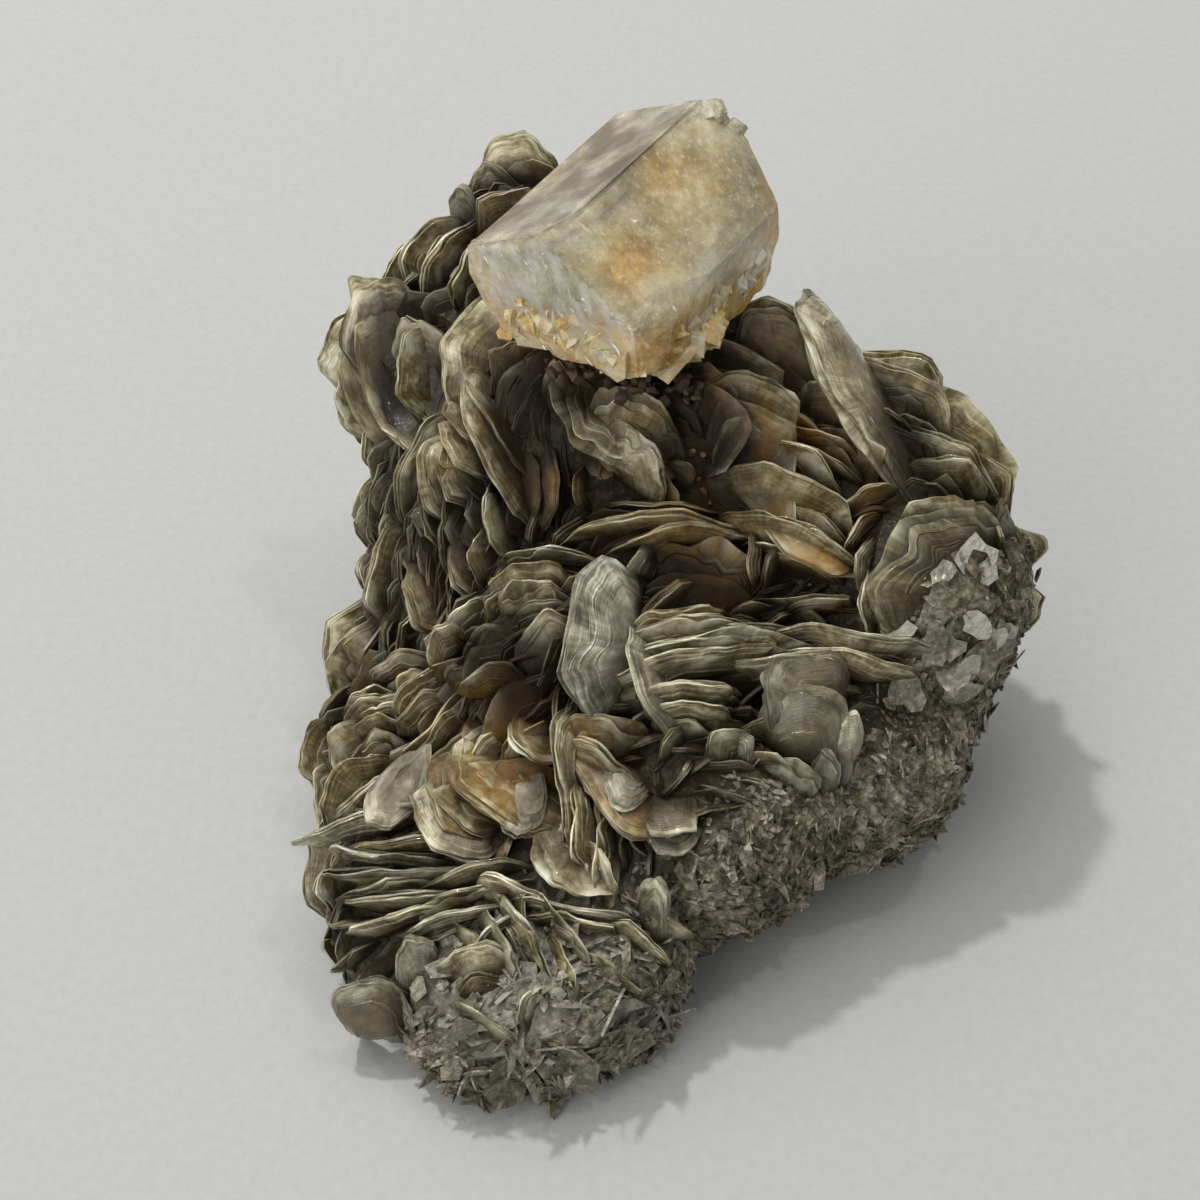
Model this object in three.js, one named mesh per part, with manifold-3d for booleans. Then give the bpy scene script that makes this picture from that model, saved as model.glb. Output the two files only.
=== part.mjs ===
// A pale beryl prism lying on a cluster of muscovite books, in millimetres, +Z up.
// The origin is the middle of the flat base that the specimen rests on.

import * as THREE from "three";
import { mergeVertices } from "three/addons/utils/BufferGeometryUtils.js";
import Module from "manifold-3d";

const wasm = await Module();
wasm.setup();

// Driving dimensions.
const LEAN = 45;                // degrees that the working frame leans back
const MIDDLE = [0, 0, 25];      // origin of the working frame
const ROCK_CENTRE = [4, 0, 18]; // every part of the rock can be seen from here
const ROCK_DETAIL = 7;          // subdivisions of the rock's icosahedron
const ROCK_BLEND = 2.5;         // how softly the lobes of the rock run together
const ROCK_REACH = 60;          // farthest that the rock is looked for from its centre
const BOOK_SIDES = 10;          // corners of a book's outline
const BOOK_RIM = 0.62;          // rim thickness of a book, as a part of its middle's
const CUTTER = 60;              // side of the blocks that cut the crystal
const GROUND_CUTTER = 200;      // side of the block that cuts the base flat
const SEAT_SCALE = 1.04;        // the crystal's seat in the muscovite, as a part of the crystal

// Lobes of the mica rock under the books: x, y, z, radius.
const ROCK_LOBES = [
  [9, 4, 19, 18.5],
  [1, -2, 8, 12.5],
  [17, -2, 9, 11.5],
  [-6, -7, 22, 9.5],
  [-9, -25, 8, 9.5],
  [-12, -37, 4, 7],
  [-17, -15, 8, 9],
  [-22, -4, 8, 7.5],
  [-21, -27, 6, 6.5],
  [30, 6, 20, 15],
  [35, 0, 27, 8.5],
  [27, 14, 32, 10],
  [26, -9, 12, 12],
  [4, 20, 10, 13],
  [-8, 32, 34, 10.5],
  [-9, 40, 43, 6.5],
  [-20, 31, 33, 7.5],
  [-17, 19, 20, 9],
  [-17, 6, 15, 8.5],
  [8, 15, 36, 12],
  [-3, 14, 38, 9.5],
  [-12, 8, 27, 7.5],
  [11, -18, 12, 12.5],
];

// The beryl. Its outline is a hexagon whose sides turn by 60 degrees.
const CRYSTAL_CORNER = [-12.9, 12.8, 60.9]; // left front corner
const CRYSTAL_AXIS = [-0.555, -0.831, -0.034]; // out of the front end
const CRYSTAL_ACROSS = [0.684, -0.433, -0.588]; // in the front end
const CRYSTAL_SIDES = [11.9, 13, 9.5, 9.7, 15.2, 7.3];
const CRYSTAL_FIRST = 65;       // direction of the first side, degrees
const CRYSTAL_LENGTH = 28.7;
const BEVEL_BACK = 3.7;         // width of the bevel on the broad upper face
const BEVEL_IN = 2.4;           // width of the bevel on the front end
const STEP_LENGTH = 10;         // growth step along the right edge of the upper face
const STEP_WIDTH = 2.4;
const STEP_DEPTH = 1.8;

// Fracture planes of the beryl: a point, and the direction that is broken away.
const CRYSTAL_BREAKS = [
  { at: [0, 16, 50.2], away: [0.05, -0.08, -1] },
  { at: [-6, 9.5, 50.6], away: [-0.25, -0.6, -1] },
  { at: [19, 20.5, 58], away: [0.9, 0.62, -0.1] },
  { at: [10, 31.5, 66], away: [0.45, 0.85, 0.35] },
];

// The books that stand out of the cluster, in the working frame. Each row is the middle of
// the rim (across, up, out), the way it grows (degrees counter-clockwise from across, degrees
// towards out), its turn about that, and its length, width and thickness.
const BOOKS = {
  crest: [
    [-8, 52, -14, 85, 25, 0, 12, 9.5, 3.2],
    [-13, 48, -13, 115, 30, 20, 11, 7, 2.5],
    [-15, 45, -12, 110, 40, 45, 10, 6, 2.2],
    [-18, 38.5, -9, 150, 50, 0, 10, 11, 2.2],
    [-21, 39.5, -12, 145, 45, 0, 11, 11.5, 2],
    [-23, 36, -14, 150, 50, 0, 10, 8, 1.8],
    [-15.5, 36, -6, 160, 60, 0, 9, 9, 1.8],
  ],
  leftDome: [
    [-27, 37, -18, 115, 20, 0, 15, 8, 3],
    [-29.5, 28.5, -16, 178, 35, 0, 13, 14, 2.8],
    [-23.5, 34, -12, 100, 18, 0, 13, 9.5, 2.6],
    [-20, 30, -9, 110, 30, 20, 10, 7, 2],
  ],
  crystalFoot: [
    [-16, 28, 0, 155, 25, 0, 12, 15, 2.4],
    [-21.5, 26.5, -8, 160, 40, 0, 11, 11, 2],
    [-9, 25, 5, 120, 30, 0, 11, 7, 1.8],
    [-4, 23.5, 8, 110, 30, 0, 9, 6, 1.6],
    [16.5, 30, 5, 105, 25, 0, 11, 9, 2],
    [19.5, 31.5, 3, 55, 30, 0, 13, 12, 2.2],
  ],
  column: [
    [-26.5, 18, -17, 172, 40, 0, 13, 10, 2.8],
    [-26.5, 10, -18, 185, 45, 0, 13, 10, 2.8],
    [-25, 3.5, -17, 190, 50, 0, 12, 8, 2.4],
    [-19.5, 12, -7, 165, 45, 0, 10, 14, 2],
    [-21.5, 1, -7, 172, 50, 0, 10, 13, 2],
  ],
  leftPetals: [
    [-30.5, -4, -12, 160, 30, 0, 15, 17, 3],
    [-26.5, -4, -6, 145, 25, 0, 13, 11, 2.2],
    [-20, -1.5, 1, 215, 50, 0, 10, 9, 2.2],
    [-29, -14.5, -7, 150, 35, 0, 12, 9, 2.5],
    [-31, -19.5, -6, 165, 35, 0, 13, 9, 2.5],
    [-21.5, -14.8, 3, 95, 35, 0, 9, 8, 2],
    [-23.5, -9.5, -1, 100, 50, 0, 8, 7, 1.6],
  ],
  roofs: [
    [-17, -13, 7, 139, 45, 0, 9, 13, 1.8],
    [-10.7, -12.7, 10, 132, 50, 0, 9, 12.5, 1.8],
    [-18, -8, 4, 125, 40, 0, 9, 8, 1.6],
  ],
  hollowLeft: [
    [-10.5, 13.8, 6, 208, 50, 0, 10, 18, 2],
    [-13.5, 13.5, 4, 233, 50, 0, 8, 9, 1.8],
    [-17.7, 10.4, 1, 203, 40, 0, 9, 10, 2],
    [-11.5, 8, 4.5, 190, 60, 0, 8, 8.5, 1.6],
  ],
  hollowMiddle: [
    [-2.2, 15.5, 12, 222, 40, 0, 12, 17, 1.8],
    [4, 20.5, 12, 70, 35, 0, 10, 11, 1.6],
    [6.5, 8.6, 12, 90, 72, 0, 10, 18, 1.5],
    [7.5, 7, 12.5, 95, 75, 0, 10, 16, 1.4],
  ],
  hollowRight: [
    [13, 22.5, 9, 97, 35, 0, 10, 11.5, 1.8],
    [20, 13, 10, 68, 40, 0, 10, 18, 1.6],
    [20, 7.7, 11.5, 66, 60, 0, 9, 16, 1.4],
    [20, 3.7, 11.5, 240, 50, 0, 9, 11.5, 1.4],
    [24, 19.5, 9, 211, 50, 0, 10, 24, 2],
  ],
  rightDome: [
    [30.5, 24.3, 2, 76, 35, 0, 11, 15, 1.8],
    [40, 20, 0, 50, 35, 0, 15, 20, 2.2],
    [37, 16.5, 4, 55, 45, 0, 11, 14, 1.8],
    [48, 5.5, -5, 5, 35, 0, 14, 9, 2.6],
    [47, -1, -6, -5, 40, 0, 13, 9, 2.6],
    [27.3, 4.5, 11, 165, 12, 0, 17, 14, 2.2],
  ],
  frontMiddle: [
    [-7.5, 4, 11, 100, 35, 0, 10, 9, 1.8],
    [-5.5, -1.5, 12.5, 110, 30, 0, 9, 7, 2],
    [-3.8, -4, 15.5, 178, 35, 0, 10, 15.5, 3],
    [3.8, -8.7, 16, 202, 60, 0, 8, 12.5, 1.6],
    [7, -0.8, 13.5, 100, 50, 0, 9, 12, 1.4],
    [10, -3.2, 15, 98, 60, 0, 9, 20, 1.6],
    [25, -3, 12, 86, 60, 0, 9, 20, 1.8],
    [21, -8, 13.5, 80, 12, 0, 10, 9, 1.8],
  ],
  frontLow: [
    [0.5, -15, 15, 55, 65, 0, 8, 10, 2.6],
    [1.3, -22, 17.5, 238, 48, 0, 10, 14, 1.6],
    [-4.3, -17.5, 16, 184, 62, 0, 9, 15, 1.6],
    [-1.5, -25, 17, 190, 65, 0, 9, 12, 1.8],
  ],
  lowerLeft: [
    [-23, -19, 9, 110, 62, 0, 10, 15, 2.2],
    [-24.5, -24, 11.5, 100, 70, 0, 12, 20, 2.4],
    [-24.5, -28.5, 12, 90, 75, 0, 12, 22, 2.6],
    [-31.5, -27, 8, 190, 50, 0, 14, 11, 3],
    [-14.7, -25.5, 13.5, 246, 50, 0, 9, 10, 1.8],
    [-14.5, -23.3, 13.5, 233, 50, 0, 9, 10, 1.5],
    [-9.8, -22.5, 14, 237, 52, 0, 9, 15, 1.5],
  ],
  toe: [
    [-29.5, -35, 8, 180, 35, 0, 14, 9, 2.4],
    [-27, -40, 10, 205, 40, 0, 12, 9, 2.2],
    [-22, -37, 13, 127, 55, 0, 9, 10, 1.8],
    [-18.5, -35.5, 14.5, 95, 10, 0, 9, 8, 1.8],
    [-10.5, -35, 16.5, 95, 10, 0, 9, 8.5, 1.8],
    [-13, -47, 17, 260, 30, 0, 12, 9, 2.4],
    [-7, -47, 17.5, 280, 30, 0, 11, 8, 2.2],
  ],
};

// The working frame: across is +X, up leans back by LEAN and out leans forward by LEAN.
const LEAN_COS = Math.cos(THREE.MathUtils.degToRad(LEAN));
const LEAN_SIN = Math.sin(THREE.MathUtils.degToRad(LEAN));
const ACROSS = new THREE.Vector3(1, 0, 0);
const UP = new THREE.Vector3(0, LEAN_COS, LEAN_SIN);
const OUT = new THREE.Vector3(0, -LEAN_SIN, LEAN_COS);

function inWorkingFrame(across, up, out) {
  return new THREE.Vector3()
    .addScaledVector(ACROSS, across)
    .addScaledVector(UP, up)
    .addScaledVector(OUT, out);
}

function toSolid(geometry) {
  const bare = new THREE.BufferGeometry();
  bare.setAttribute("position", geometry.getAttribute("position").clone());
  if (geometry.index) {
    bare.setIndex(geometry.index.clone());
  }
  const merged = mergeVertices(bare, 1e-4);
  return new wasm.Manifold(new wasm.Mesh({
    numProp: 3,
    vertProperties: new Float32Array(merged.getAttribute("position").array),
    triVerts: new Uint32Array(merged.index.array),
  }));
}

function toGeometry(solid) {
  const mesh = solid.getMesh();
  const geometry = new THREE.BufferGeometry();
  geometry.setAttribute("position", new THREE.BufferAttribute(mesh.vertProperties, 3));
  geometry.setIndex(new THREE.BufferAttribute(mesh.triVerts, 1));
  geometry.computeVertexNormals();
  return geometry;
}

// Below zero inside the rock: the lobes run together softly.
function rockField(point) {
  let sum = 0;
  for (const [x, y, z, radius] of ROCK_LOBES) {
    const distance = Math.hypot(point.x - x, point.y - y, point.z - z) - radius;
    sum += Math.exp(-distance / ROCK_BLEND);
  }
  return -ROCK_BLEND * Math.log(sum);
}

function rockLumps(direction) {
  const { x, y, z } = direction;
  return 0.7 * Math.sin(7 * x + 5 * y) + 0.6 * Math.sin(9 * y - 6 * z + 1) + 0.5 * Math.sin(8 * z + 7 * x + 2);
}

// The rock is an icosahedron whose corners are pushed out to the edge of the lobes.
// What would be below the base lies on it.
function rockGeometry() {
  const geometry = mergeVertices(bareIcosahedron());
  const positions = geometry.getAttribute("position");
  const centre = new THREE.Vector3(...ROCK_CENTRE);
  const direction = new THREE.Vector3();
  const point = new THREE.Vector3();
  for (let i = 0; i < positions.count; i += 1) {
    direction.fromBufferAttribute(positions, i).normalize();
    let near = 0;
    let far = ROCK_REACH;
    while (far - near > 0.01) {
      const middle = (near + far) / 2;
      point.copy(centre).addScaledVector(direction, middle);
      if (rockField(point) < 0) {
        near = middle;
      } else {
        far = middle;
      }
    }
    let reach = near + rockLumps(direction);
    if (centre.z + direction.z * reach < 0) {
      reach = -centre.z / direction.z;
    }
    point.copy(centre).addScaledVector(direction, reach);
    positions.setXYZ(i, point.x, point.y, Math.max(point.z, 0));
  }
  return geometry;
}

function bareIcosahedron() {
  const geometry = new THREE.IcosahedronGeometry(1, ROCK_DETAIL);
  geometry.deleteAttribute("normal");
  geometry.deleteAttribute("uv");
  return geometry;
}

// A book is a thick lens: an oval rim band between two low domes. Its rim's middle is at the
// origin, it grows along +X, and its faces look along +Z and -Z.
function bookGeometry(length, width, thickness) {
  const points = [];
  const half = thickness / 2;
  for (const side of [1, -1]) {
    points.push(-length / 2, 0, side * half);
    for (let i = 0; i < BOOK_SIDES; i += 1) {
      const angle = (2 * Math.PI * i) / BOOK_SIDES;
      points.push(
        (length / 2) * (Math.cos(angle) - 1),
        (width / 2) * Math.sin(angle),
        side * half * BOOK_RIM,
      );
    }
  }
  const faces = [];
  const lower = BOOK_SIDES + 1;
  for (let i = 0; i < BOOK_SIDES; i += 1) {
    const here = 1 + i;
    const next = 1 + ((i + 1) % BOOK_SIDES);
    faces.push(0, here, next);
    faces.push(lower, lower + next, lower + here);
    faces.push(here, lower + here, lower + next);
    faces.push(here, lower + next, next);
  }
  const geometry = new THREE.BufferGeometry();
  geometry.setAttribute("position", new THREE.Float32BufferAttribute(points, 3));
  geometry.setIndex(faces);
  return geometry;
}

function placedBook([across, up, out, aim, tilt, turn, length, width, thickness]) {
  const aimAngle = THREE.MathUtils.degToRad(aim);
  const tiltAngle = THREE.MathUtils.degToRad(tilt);
  const aimX = Math.cos(aimAngle);
  const aimY = Math.sin(aimAngle);
  const grow = inWorkingFrame(Math.cos(tiltAngle) * aimX, Math.cos(tiltAngle) * aimY, Math.sin(tiltAngle));
  const face = inWorkingFrame(-Math.sin(tiltAngle) * aimX, -Math.sin(tiltAngle) * aimY, Math.cos(tiltAngle));
  face.applyAxisAngle(grow, THREE.MathUtils.degToRad(turn));
  const side = new THREE.Vector3().crossVectors(face, grow);
  const tip = inWorkingFrame(across, up, out).add(new THREE.Vector3(...MIDDLE));
  const place = new THREE.Matrix4().makeBasis(grow, side, face).setPosition(tip);
  return toSolid(bookGeometry(length, width, thickness).applyMatrix4(place));
}

// The corners of the crystal's front end, in the plane of that end.
function crystalOutline() {
  const corners = [];
  let x = 0;
  let y = 0;
  CRYSTAL_SIDES.forEach((side, index) => {
    corners.push(new THREE.Vector2(x, y));
    const angle = THREE.MathUtils.degToRad(CRYSTAL_FIRST - 60 * index);
    x += side * Math.cos(angle);
    y += side * Math.sin(angle);
  });
  return corners;
}

function crystalFrame() {
  const axis = new THREE.Vector3(...CRYSTAL_AXIS).normalize();
  const across = new THREE.Vector3(...CRYSTAL_ACROSS);
  across.addScaledVector(axis, -across.dot(axis)).normalize();
  const upward = new THREE.Vector3().crossVectors(axis, across);
  return new THREE.Matrix4().makeBasis(across, upward, axis).setPosition(...CRYSTAL_CORNER);
}

// A block that takes away everything on the far side of a plane.
function breakBlock(at, away, size = CUTTER) {
  const normal = away.clone().normalize();
  const block = new THREE.BoxGeometry(size, size, size);
  block.applyQuaternion(new THREE.Quaternion().setFromUnitVectors(new THREE.Vector3(0, 0, 1), normal));
  const centre = at.clone().addScaledVector(normal, size / 2);
  block.translate(centre.x, centre.y, centre.z);
  return toSolid(block);
}

function crystalSolid() {
  const frame = crystalFrame();
  const outline = crystalOutline();
  const prism = new THREE.ExtrudeGeometry(new THREE.Shape(outline), {
    depth: CRYSTAL_LENGTH,
    bevelEnabled: false,
  });
  prism.translate(0, 0, -CRYSTAL_LENGTH);
  prism.applyMatrix4(frame);
  let solid = toSolid(prism);

  // The bevel between the front end and the broad upper face, from corner 1 to corner 2.
  const along = outline[2].clone().sub(outline[1]).normalize();
  const outward = new THREE.Vector3(-along.y, along.x, 0);
  const bevelAt = new THREE.Vector3(outline[1].x, outline[1].y, -BEVEL_BACK).applyMatrix4(frame);
  const bevelAway = outward.clone().multiplyScalar(BEVEL_BACK).add(new THREE.Vector3(0, 0, BEVEL_IN));
  solid = solid.subtract(breakBlock(bevelAt, bevelAway.transformDirection(frame)));

  // The growth step along the right edge of the upper face.
  const step = new THREE.BoxGeometry(2 * STEP_WIDTH, 2 * STEP_DEPTH, 2 * STEP_LENGTH);
  step.rotateZ(Math.atan2(along.y, along.x));
  step.translate(outline[2].x, outline[2].y, 0);
  solid = solid.subtract(toSolid(step.applyMatrix4(frame)));

  for (const { at, away } of CRYSTAL_BREAKS) {
    solid = solid.subtract(breakBlock(new THREE.Vector3(...at), new THREE.Vector3(...away)));
  }
  return solid;
}

function grownAbout(solid, scale) {
  const geometry = toGeometry(solid);
  geometry.computeBoundingBox();
  const centre = geometry.boundingBox.getCenter(new THREE.Vector3());
  geometry.translate(-centre.x, -centre.y, -centre.z);
  geometry.scale(scale, scale, scale);
  geometry.translate(centre.x, centre.y, centre.z);
  return toSolid(geometry);
}

function muscoviteSolid(crystal) {
  let solid = toSolid(rockGeometry());
  for (const rows of Object.values(BOOKS)) {
    for (const row of rows) {
      solid = solid.add(placedBook(row));
    }
  }
  const below = breakBlock(new THREE.Vector3(0, 0, 0), new THREE.Vector3(0, 0, -1), GROUND_CUTTER);
  return solid.subtract(below).subtract(grownAbout(crystal, SEAT_SCALE));
}

const crystal = crystalSolid();
const group = new THREE.Group();

const aquamarine = new THREE.Mesh(
  toGeometry(crystal),
  new THREE.MeshStandardMaterial({ color: 0xddd6bf, roughness: 0.12, metalness: 0 }),
);
aquamarine.name = "aquamarine";
group.add(aquamarine);

const muscovite = new THREE.Mesh(
  toGeometry(muscoviteSolid(crystal)),
  new THREE.MeshStandardMaterial({ color: 0x7f7b6a, roughness: 0.42, metalness: 0.05 }),
);
muscovite.name = "muscovite_matrix";
group.add(muscovite);

export default group;
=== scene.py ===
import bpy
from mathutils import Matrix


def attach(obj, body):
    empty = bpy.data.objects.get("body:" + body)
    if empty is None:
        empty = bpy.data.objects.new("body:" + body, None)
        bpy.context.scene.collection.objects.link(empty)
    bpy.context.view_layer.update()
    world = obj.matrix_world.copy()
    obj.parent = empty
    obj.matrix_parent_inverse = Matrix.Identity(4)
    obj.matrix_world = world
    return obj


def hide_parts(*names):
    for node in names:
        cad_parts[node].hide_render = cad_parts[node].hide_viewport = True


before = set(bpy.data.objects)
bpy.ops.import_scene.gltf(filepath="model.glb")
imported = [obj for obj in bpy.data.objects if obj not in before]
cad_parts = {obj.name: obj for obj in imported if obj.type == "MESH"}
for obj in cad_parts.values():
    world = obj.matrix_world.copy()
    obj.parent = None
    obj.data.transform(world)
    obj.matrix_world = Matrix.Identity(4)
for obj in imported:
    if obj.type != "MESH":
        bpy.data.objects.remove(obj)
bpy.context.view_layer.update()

import math

import bmesh
import bpy
import numpy as np
from mathutils import Vector, bvhtree, kdtree

# A pale beryl prism on a cluster of muscovite books. Lengths are millimetres until
# make_object turns them into metres. The frame is the CAD model's: +Z up, the origin in
# the middle of the flat base.

MM = 0.001
SEED = 20

# The working frame of the books: across is +X, up leans back and out leans forward.
LEAN = math.radians(45)
MIDDLE = np.array([0.0, 0.0, 25.0])
AXES = np.array([
    [1.0, 0.0, 0.0],
    [0.0, math.cos(LEAN), math.sin(LEAN)],
    [0.0, -math.sin(LEAN), math.cos(LEAN)],
])

# The mica rock: lobes x, y, z, radius, and hollows x, y, z, radius, depth.
ROCK_CENTRE = np.array([4.0, 0.0, 18.0])
ROCK_BLEND = 2.5
ROCK_REACH = 60.0
ROCK_LOBES = np.array([
    [9, 4, 19, 18.5],
    [1, -2, 8, 12.5],
    [17, -2, 9, 11.5],
    [-6, -7, 22, 9.5],
    [-9, -25, 8, 9.5],
    [-12, -37, 4, 7],
    [-17, -15, 8, 9],
    [-22, -4, 8, 7.5],
    [-21, -27, 6, 6.5],
    [30, 6, 20, 15],
    [35, 0, 27, 8.5],
    [27, 14, 32, 10],
    [26, -9, 12, 12],
    [4, 20, 10, 13],
    [-8, 32, 34, 10.5],
    [-9, 40, 43, 6.5],
    [-20, 31, 33, 7.5],
    [-17, 19, 20, 9],
    [-17, 6, 15, 8.5],
    [8, 15, 36, 12],
    [-3, 14, 38, 9.5],
    [-12, 8, 27, 7.5],
    [11, -18, 12, 12.5],
    [0, -32, 5, 8],
    [-4, -37, 4, 6.5],
])
ROCK_HOLLOWS = [
    (13, -3, 38, 8, 3.5),
    (3, 2, 43, 6, 2.0),
    (22, 6, 43, 6, 2.0),
]

# The middle of the brown hollow, where iron-stained grit lies.
HOLLOW = np.array([12.0, 0.0, 42.0])

# Iron stain: x, y, z, radius, strength. It darkens every book there, and browns the ones that aren't
# listed in BOOKS.
STAIN_SPOTS = [
    (*HOLLOW, 13, 1.0),
    (-8, 8, 38, 8, 0.6),
    (-9, -13, 29, 4, 0.7),
    (-2, -22, 30, 7, 0.7),
]

# Silvery films of mica lie on the rock here: x, y, z, radius, strength.
FILM_SPOTS = [
    (36, -10, 30, 8, 1.0),
]

# The rock is splintery here: x, y, z, radius, strength.
SPLINTERY_SPOTS = [
    (-9, -42, 8, 10, 1.0),
    (1, -36, 8, 8, 1.0),
]

# Fine-grained rock shows on this side of the specimen, and past this line towards it.
ROCK_SIDE = np.array([0.6, -0.5, -0.62])
ROCK_LINE = 24.0

# How many times low books are laid over what is still bare between the others.
COVER_ROUNDS = 3

# How far the rims of the listed books stand out from the rock.
BOOK_HEIGHTS = (2.2, 5.0)

# The thickness of one sheet at a book's rim.
SHEET = 0.26

# A book that would come out smaller than this, in length or width, is left out.
LEAST_LENGTH = 3.5
LEAST_WIDTH = 2.0

# The colour in a stained place is as dark as if it lay this much deeper.
STAIN_DEPTH = 1.9

# How many even directions are tried for books, for low books, for grains, for flakes and
# for iron grit.
FILLER_TRIES = 430
COVER_TRIES = 2600
GRAIN_TRIES = 2600
FLAKE_TRIES = 21000
GRIT_TRIES = 5200

# What the record calls each half: material slot and CAD node.
MICA = ("muscovite", "muscovite_matrix")
BERYL = ("beryl", "aquamarine")

# The beryl, as in the CAD model.
CRYSTAL_CORNER = np.array([-12.9, 12.8, 60.9])
CRYSTAL_AXIS = np.array([-0.555, -0.831, -0.034])
CRYSTAL_ACROSS = np.array([0.684, -0.433, -0.588])
CRYSTAL_SIDES = (11.9, 13.0, 9.5, 9.7, 15.2, 7.3)
CRYSTAL_FIRST = 65
CRYSTAL_LENGTH = 28.7

# The front corner of the crystal is broken off this way.
CORNER_CHIP = np.array([0.41, -0.91, 0.06])
CORNER_CHIP_DEPTH = 1.8
CHIPS = 26

# The etching on the crystal's front end runs at this angle, from across to down.
ETCH_TURN = math.radians(-35)

# The crystal is golden below about this height, and its cloudy body starts this deep.
GOLD_LEVEL = 58.5
CLOUD_DEPTH = 1.5

SPLINTER_WIDTHS = (0.08, 0.3)

# Tints inside the crystal: x, y, z, radius, strength.
WARM_SPOTS = [
    (9.8, 15.6, 63.0, 8.0, 0.9),
    (7.0, 19.1, 65.7, 4.0, 0.6),
    (3.4, 7.0, 63.0, 4.5, 0.5),
    (0.0, 16.0, 66.0, 5.0, 0.5),
]
GOLD_SPOTS = [
    (3.4, 7.0, 63.0, 3.5, 0.6),
    (-12.0, 11.0, 57.0, 2.5, 0.6),
]
CLEAR_SPOTS = [
    (2.5, 13.0, 65.7, 4.5, 0.9),
    (-4.0, 8.0, 60.0, 5.0, 0.6),
    (6.0, 5.3, 61.0, 4.0, 0.8),
    (17.0, 21.0, 62.5, 6.0, 0.6),
    (13.0, 13.0, 59.0, 5.0, 0.6),
]

# Whitened by fine cracks: x, y, z, radius, strength.
WHITE_SPOTS = [
    (6.0, 5.3, 61.0, 3.0, 0.6),
    (2.5, 12.5, 65.7, 2.2, 0.6),
    (16.0, 26.0, 63.5, 4.0, 0.5),
    (10.0, 9.0, 56.0, 4.0, 0.4),
]

# Broken peaks at the back of the crystal: x, y, z, size.
PEAKS = [
    (11.6, 28.8, 67.6, 2.0),
    (13.0, 28.4, 66.6, 1.7),
    (14.6, 27.4, 65.4, 1.4),
]

# The dark line beside the top edge of the crystal: from and to.
EDGE_LINE = [(-2.9, 8.6, 66.7), (9.5, 27.2, 67.4)]

# The way the upper left face looks. That face is darker grey-brown, partly its own smoky tone and
# partly painted shade.
LEFT_FACE = np.array([-0.42, 0.24, 0.87])

# Clusters of bright splinters: x, y, z, spread, count.
SPLINTER_SPOTS = [
    (3.7, 12.0, 64.5, 1.6, 70),
    (2.0, 12.0, 65.5, 4.0, 40),
    (-0.9, 4.8, 64.0, 0.8, 10),
    (-0.9, 5.2, 63.8, 0.9, 26),
    (6.5, 5.5, 61.0, 2.4, 30),
    (0.0, 22.0, 65.0, 5.0, 20),
    (14.0, 26.0, 64.0, 4.0, 24),
    (4.0, 4.0, 57.0, 3.0, 40),
    (-4.0, 8.0, 55.0, 3.0, 40),
]

# The ragged foot of the crystal from left to right: across, up, out.
CRYSTAL_FOOT = [
    (-9.5, 27.6, 13.0),
    (-6.2, 26.0, 14.5),
    (-2.0, 24.8, 15.5),
    (2.0, 23.8, 16.5),
    (5.2, 23.0, 16.5),
    (7.8, 22.8, 14.5),
    (9.8, 24.2, 13.0),
    (13.0, 27.2, 11.0),
]

# Broken blocks higher up: on the crystal's front end, and on the bevel at its lower right.
CRYSTAL_FRONT = [
    (-7.5, 29.0, 14.0),
    (-3.0, 27.4, 15.5),
    (1.5, 26.4, 16.5),
    (5.2, 26.0, 16.5),
]
CRYSTAL_BEVEL = [
    (7.0, 25.5, 15.0),
    (10.5, 27.0, 13.5),
    (14.0, 30.0, 11.5),
    (17.0, 33.0, 9.5),
]

# Dark grit round the foot of the crystal: across, up, out, grains.
CRYSTAL_GRIT = [
    (-2, 23.0, 12, 26),
    (3, 22.0, 12, 26),
    (8, 21.5, 10, 20),
]

# The camera: millimetres from the middle, and its lens and sensor.
CAMERA_DISTANCE = 230.0
CAMERA_LENS = 66.04
CAMERA_SENSOR = 36.0
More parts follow.
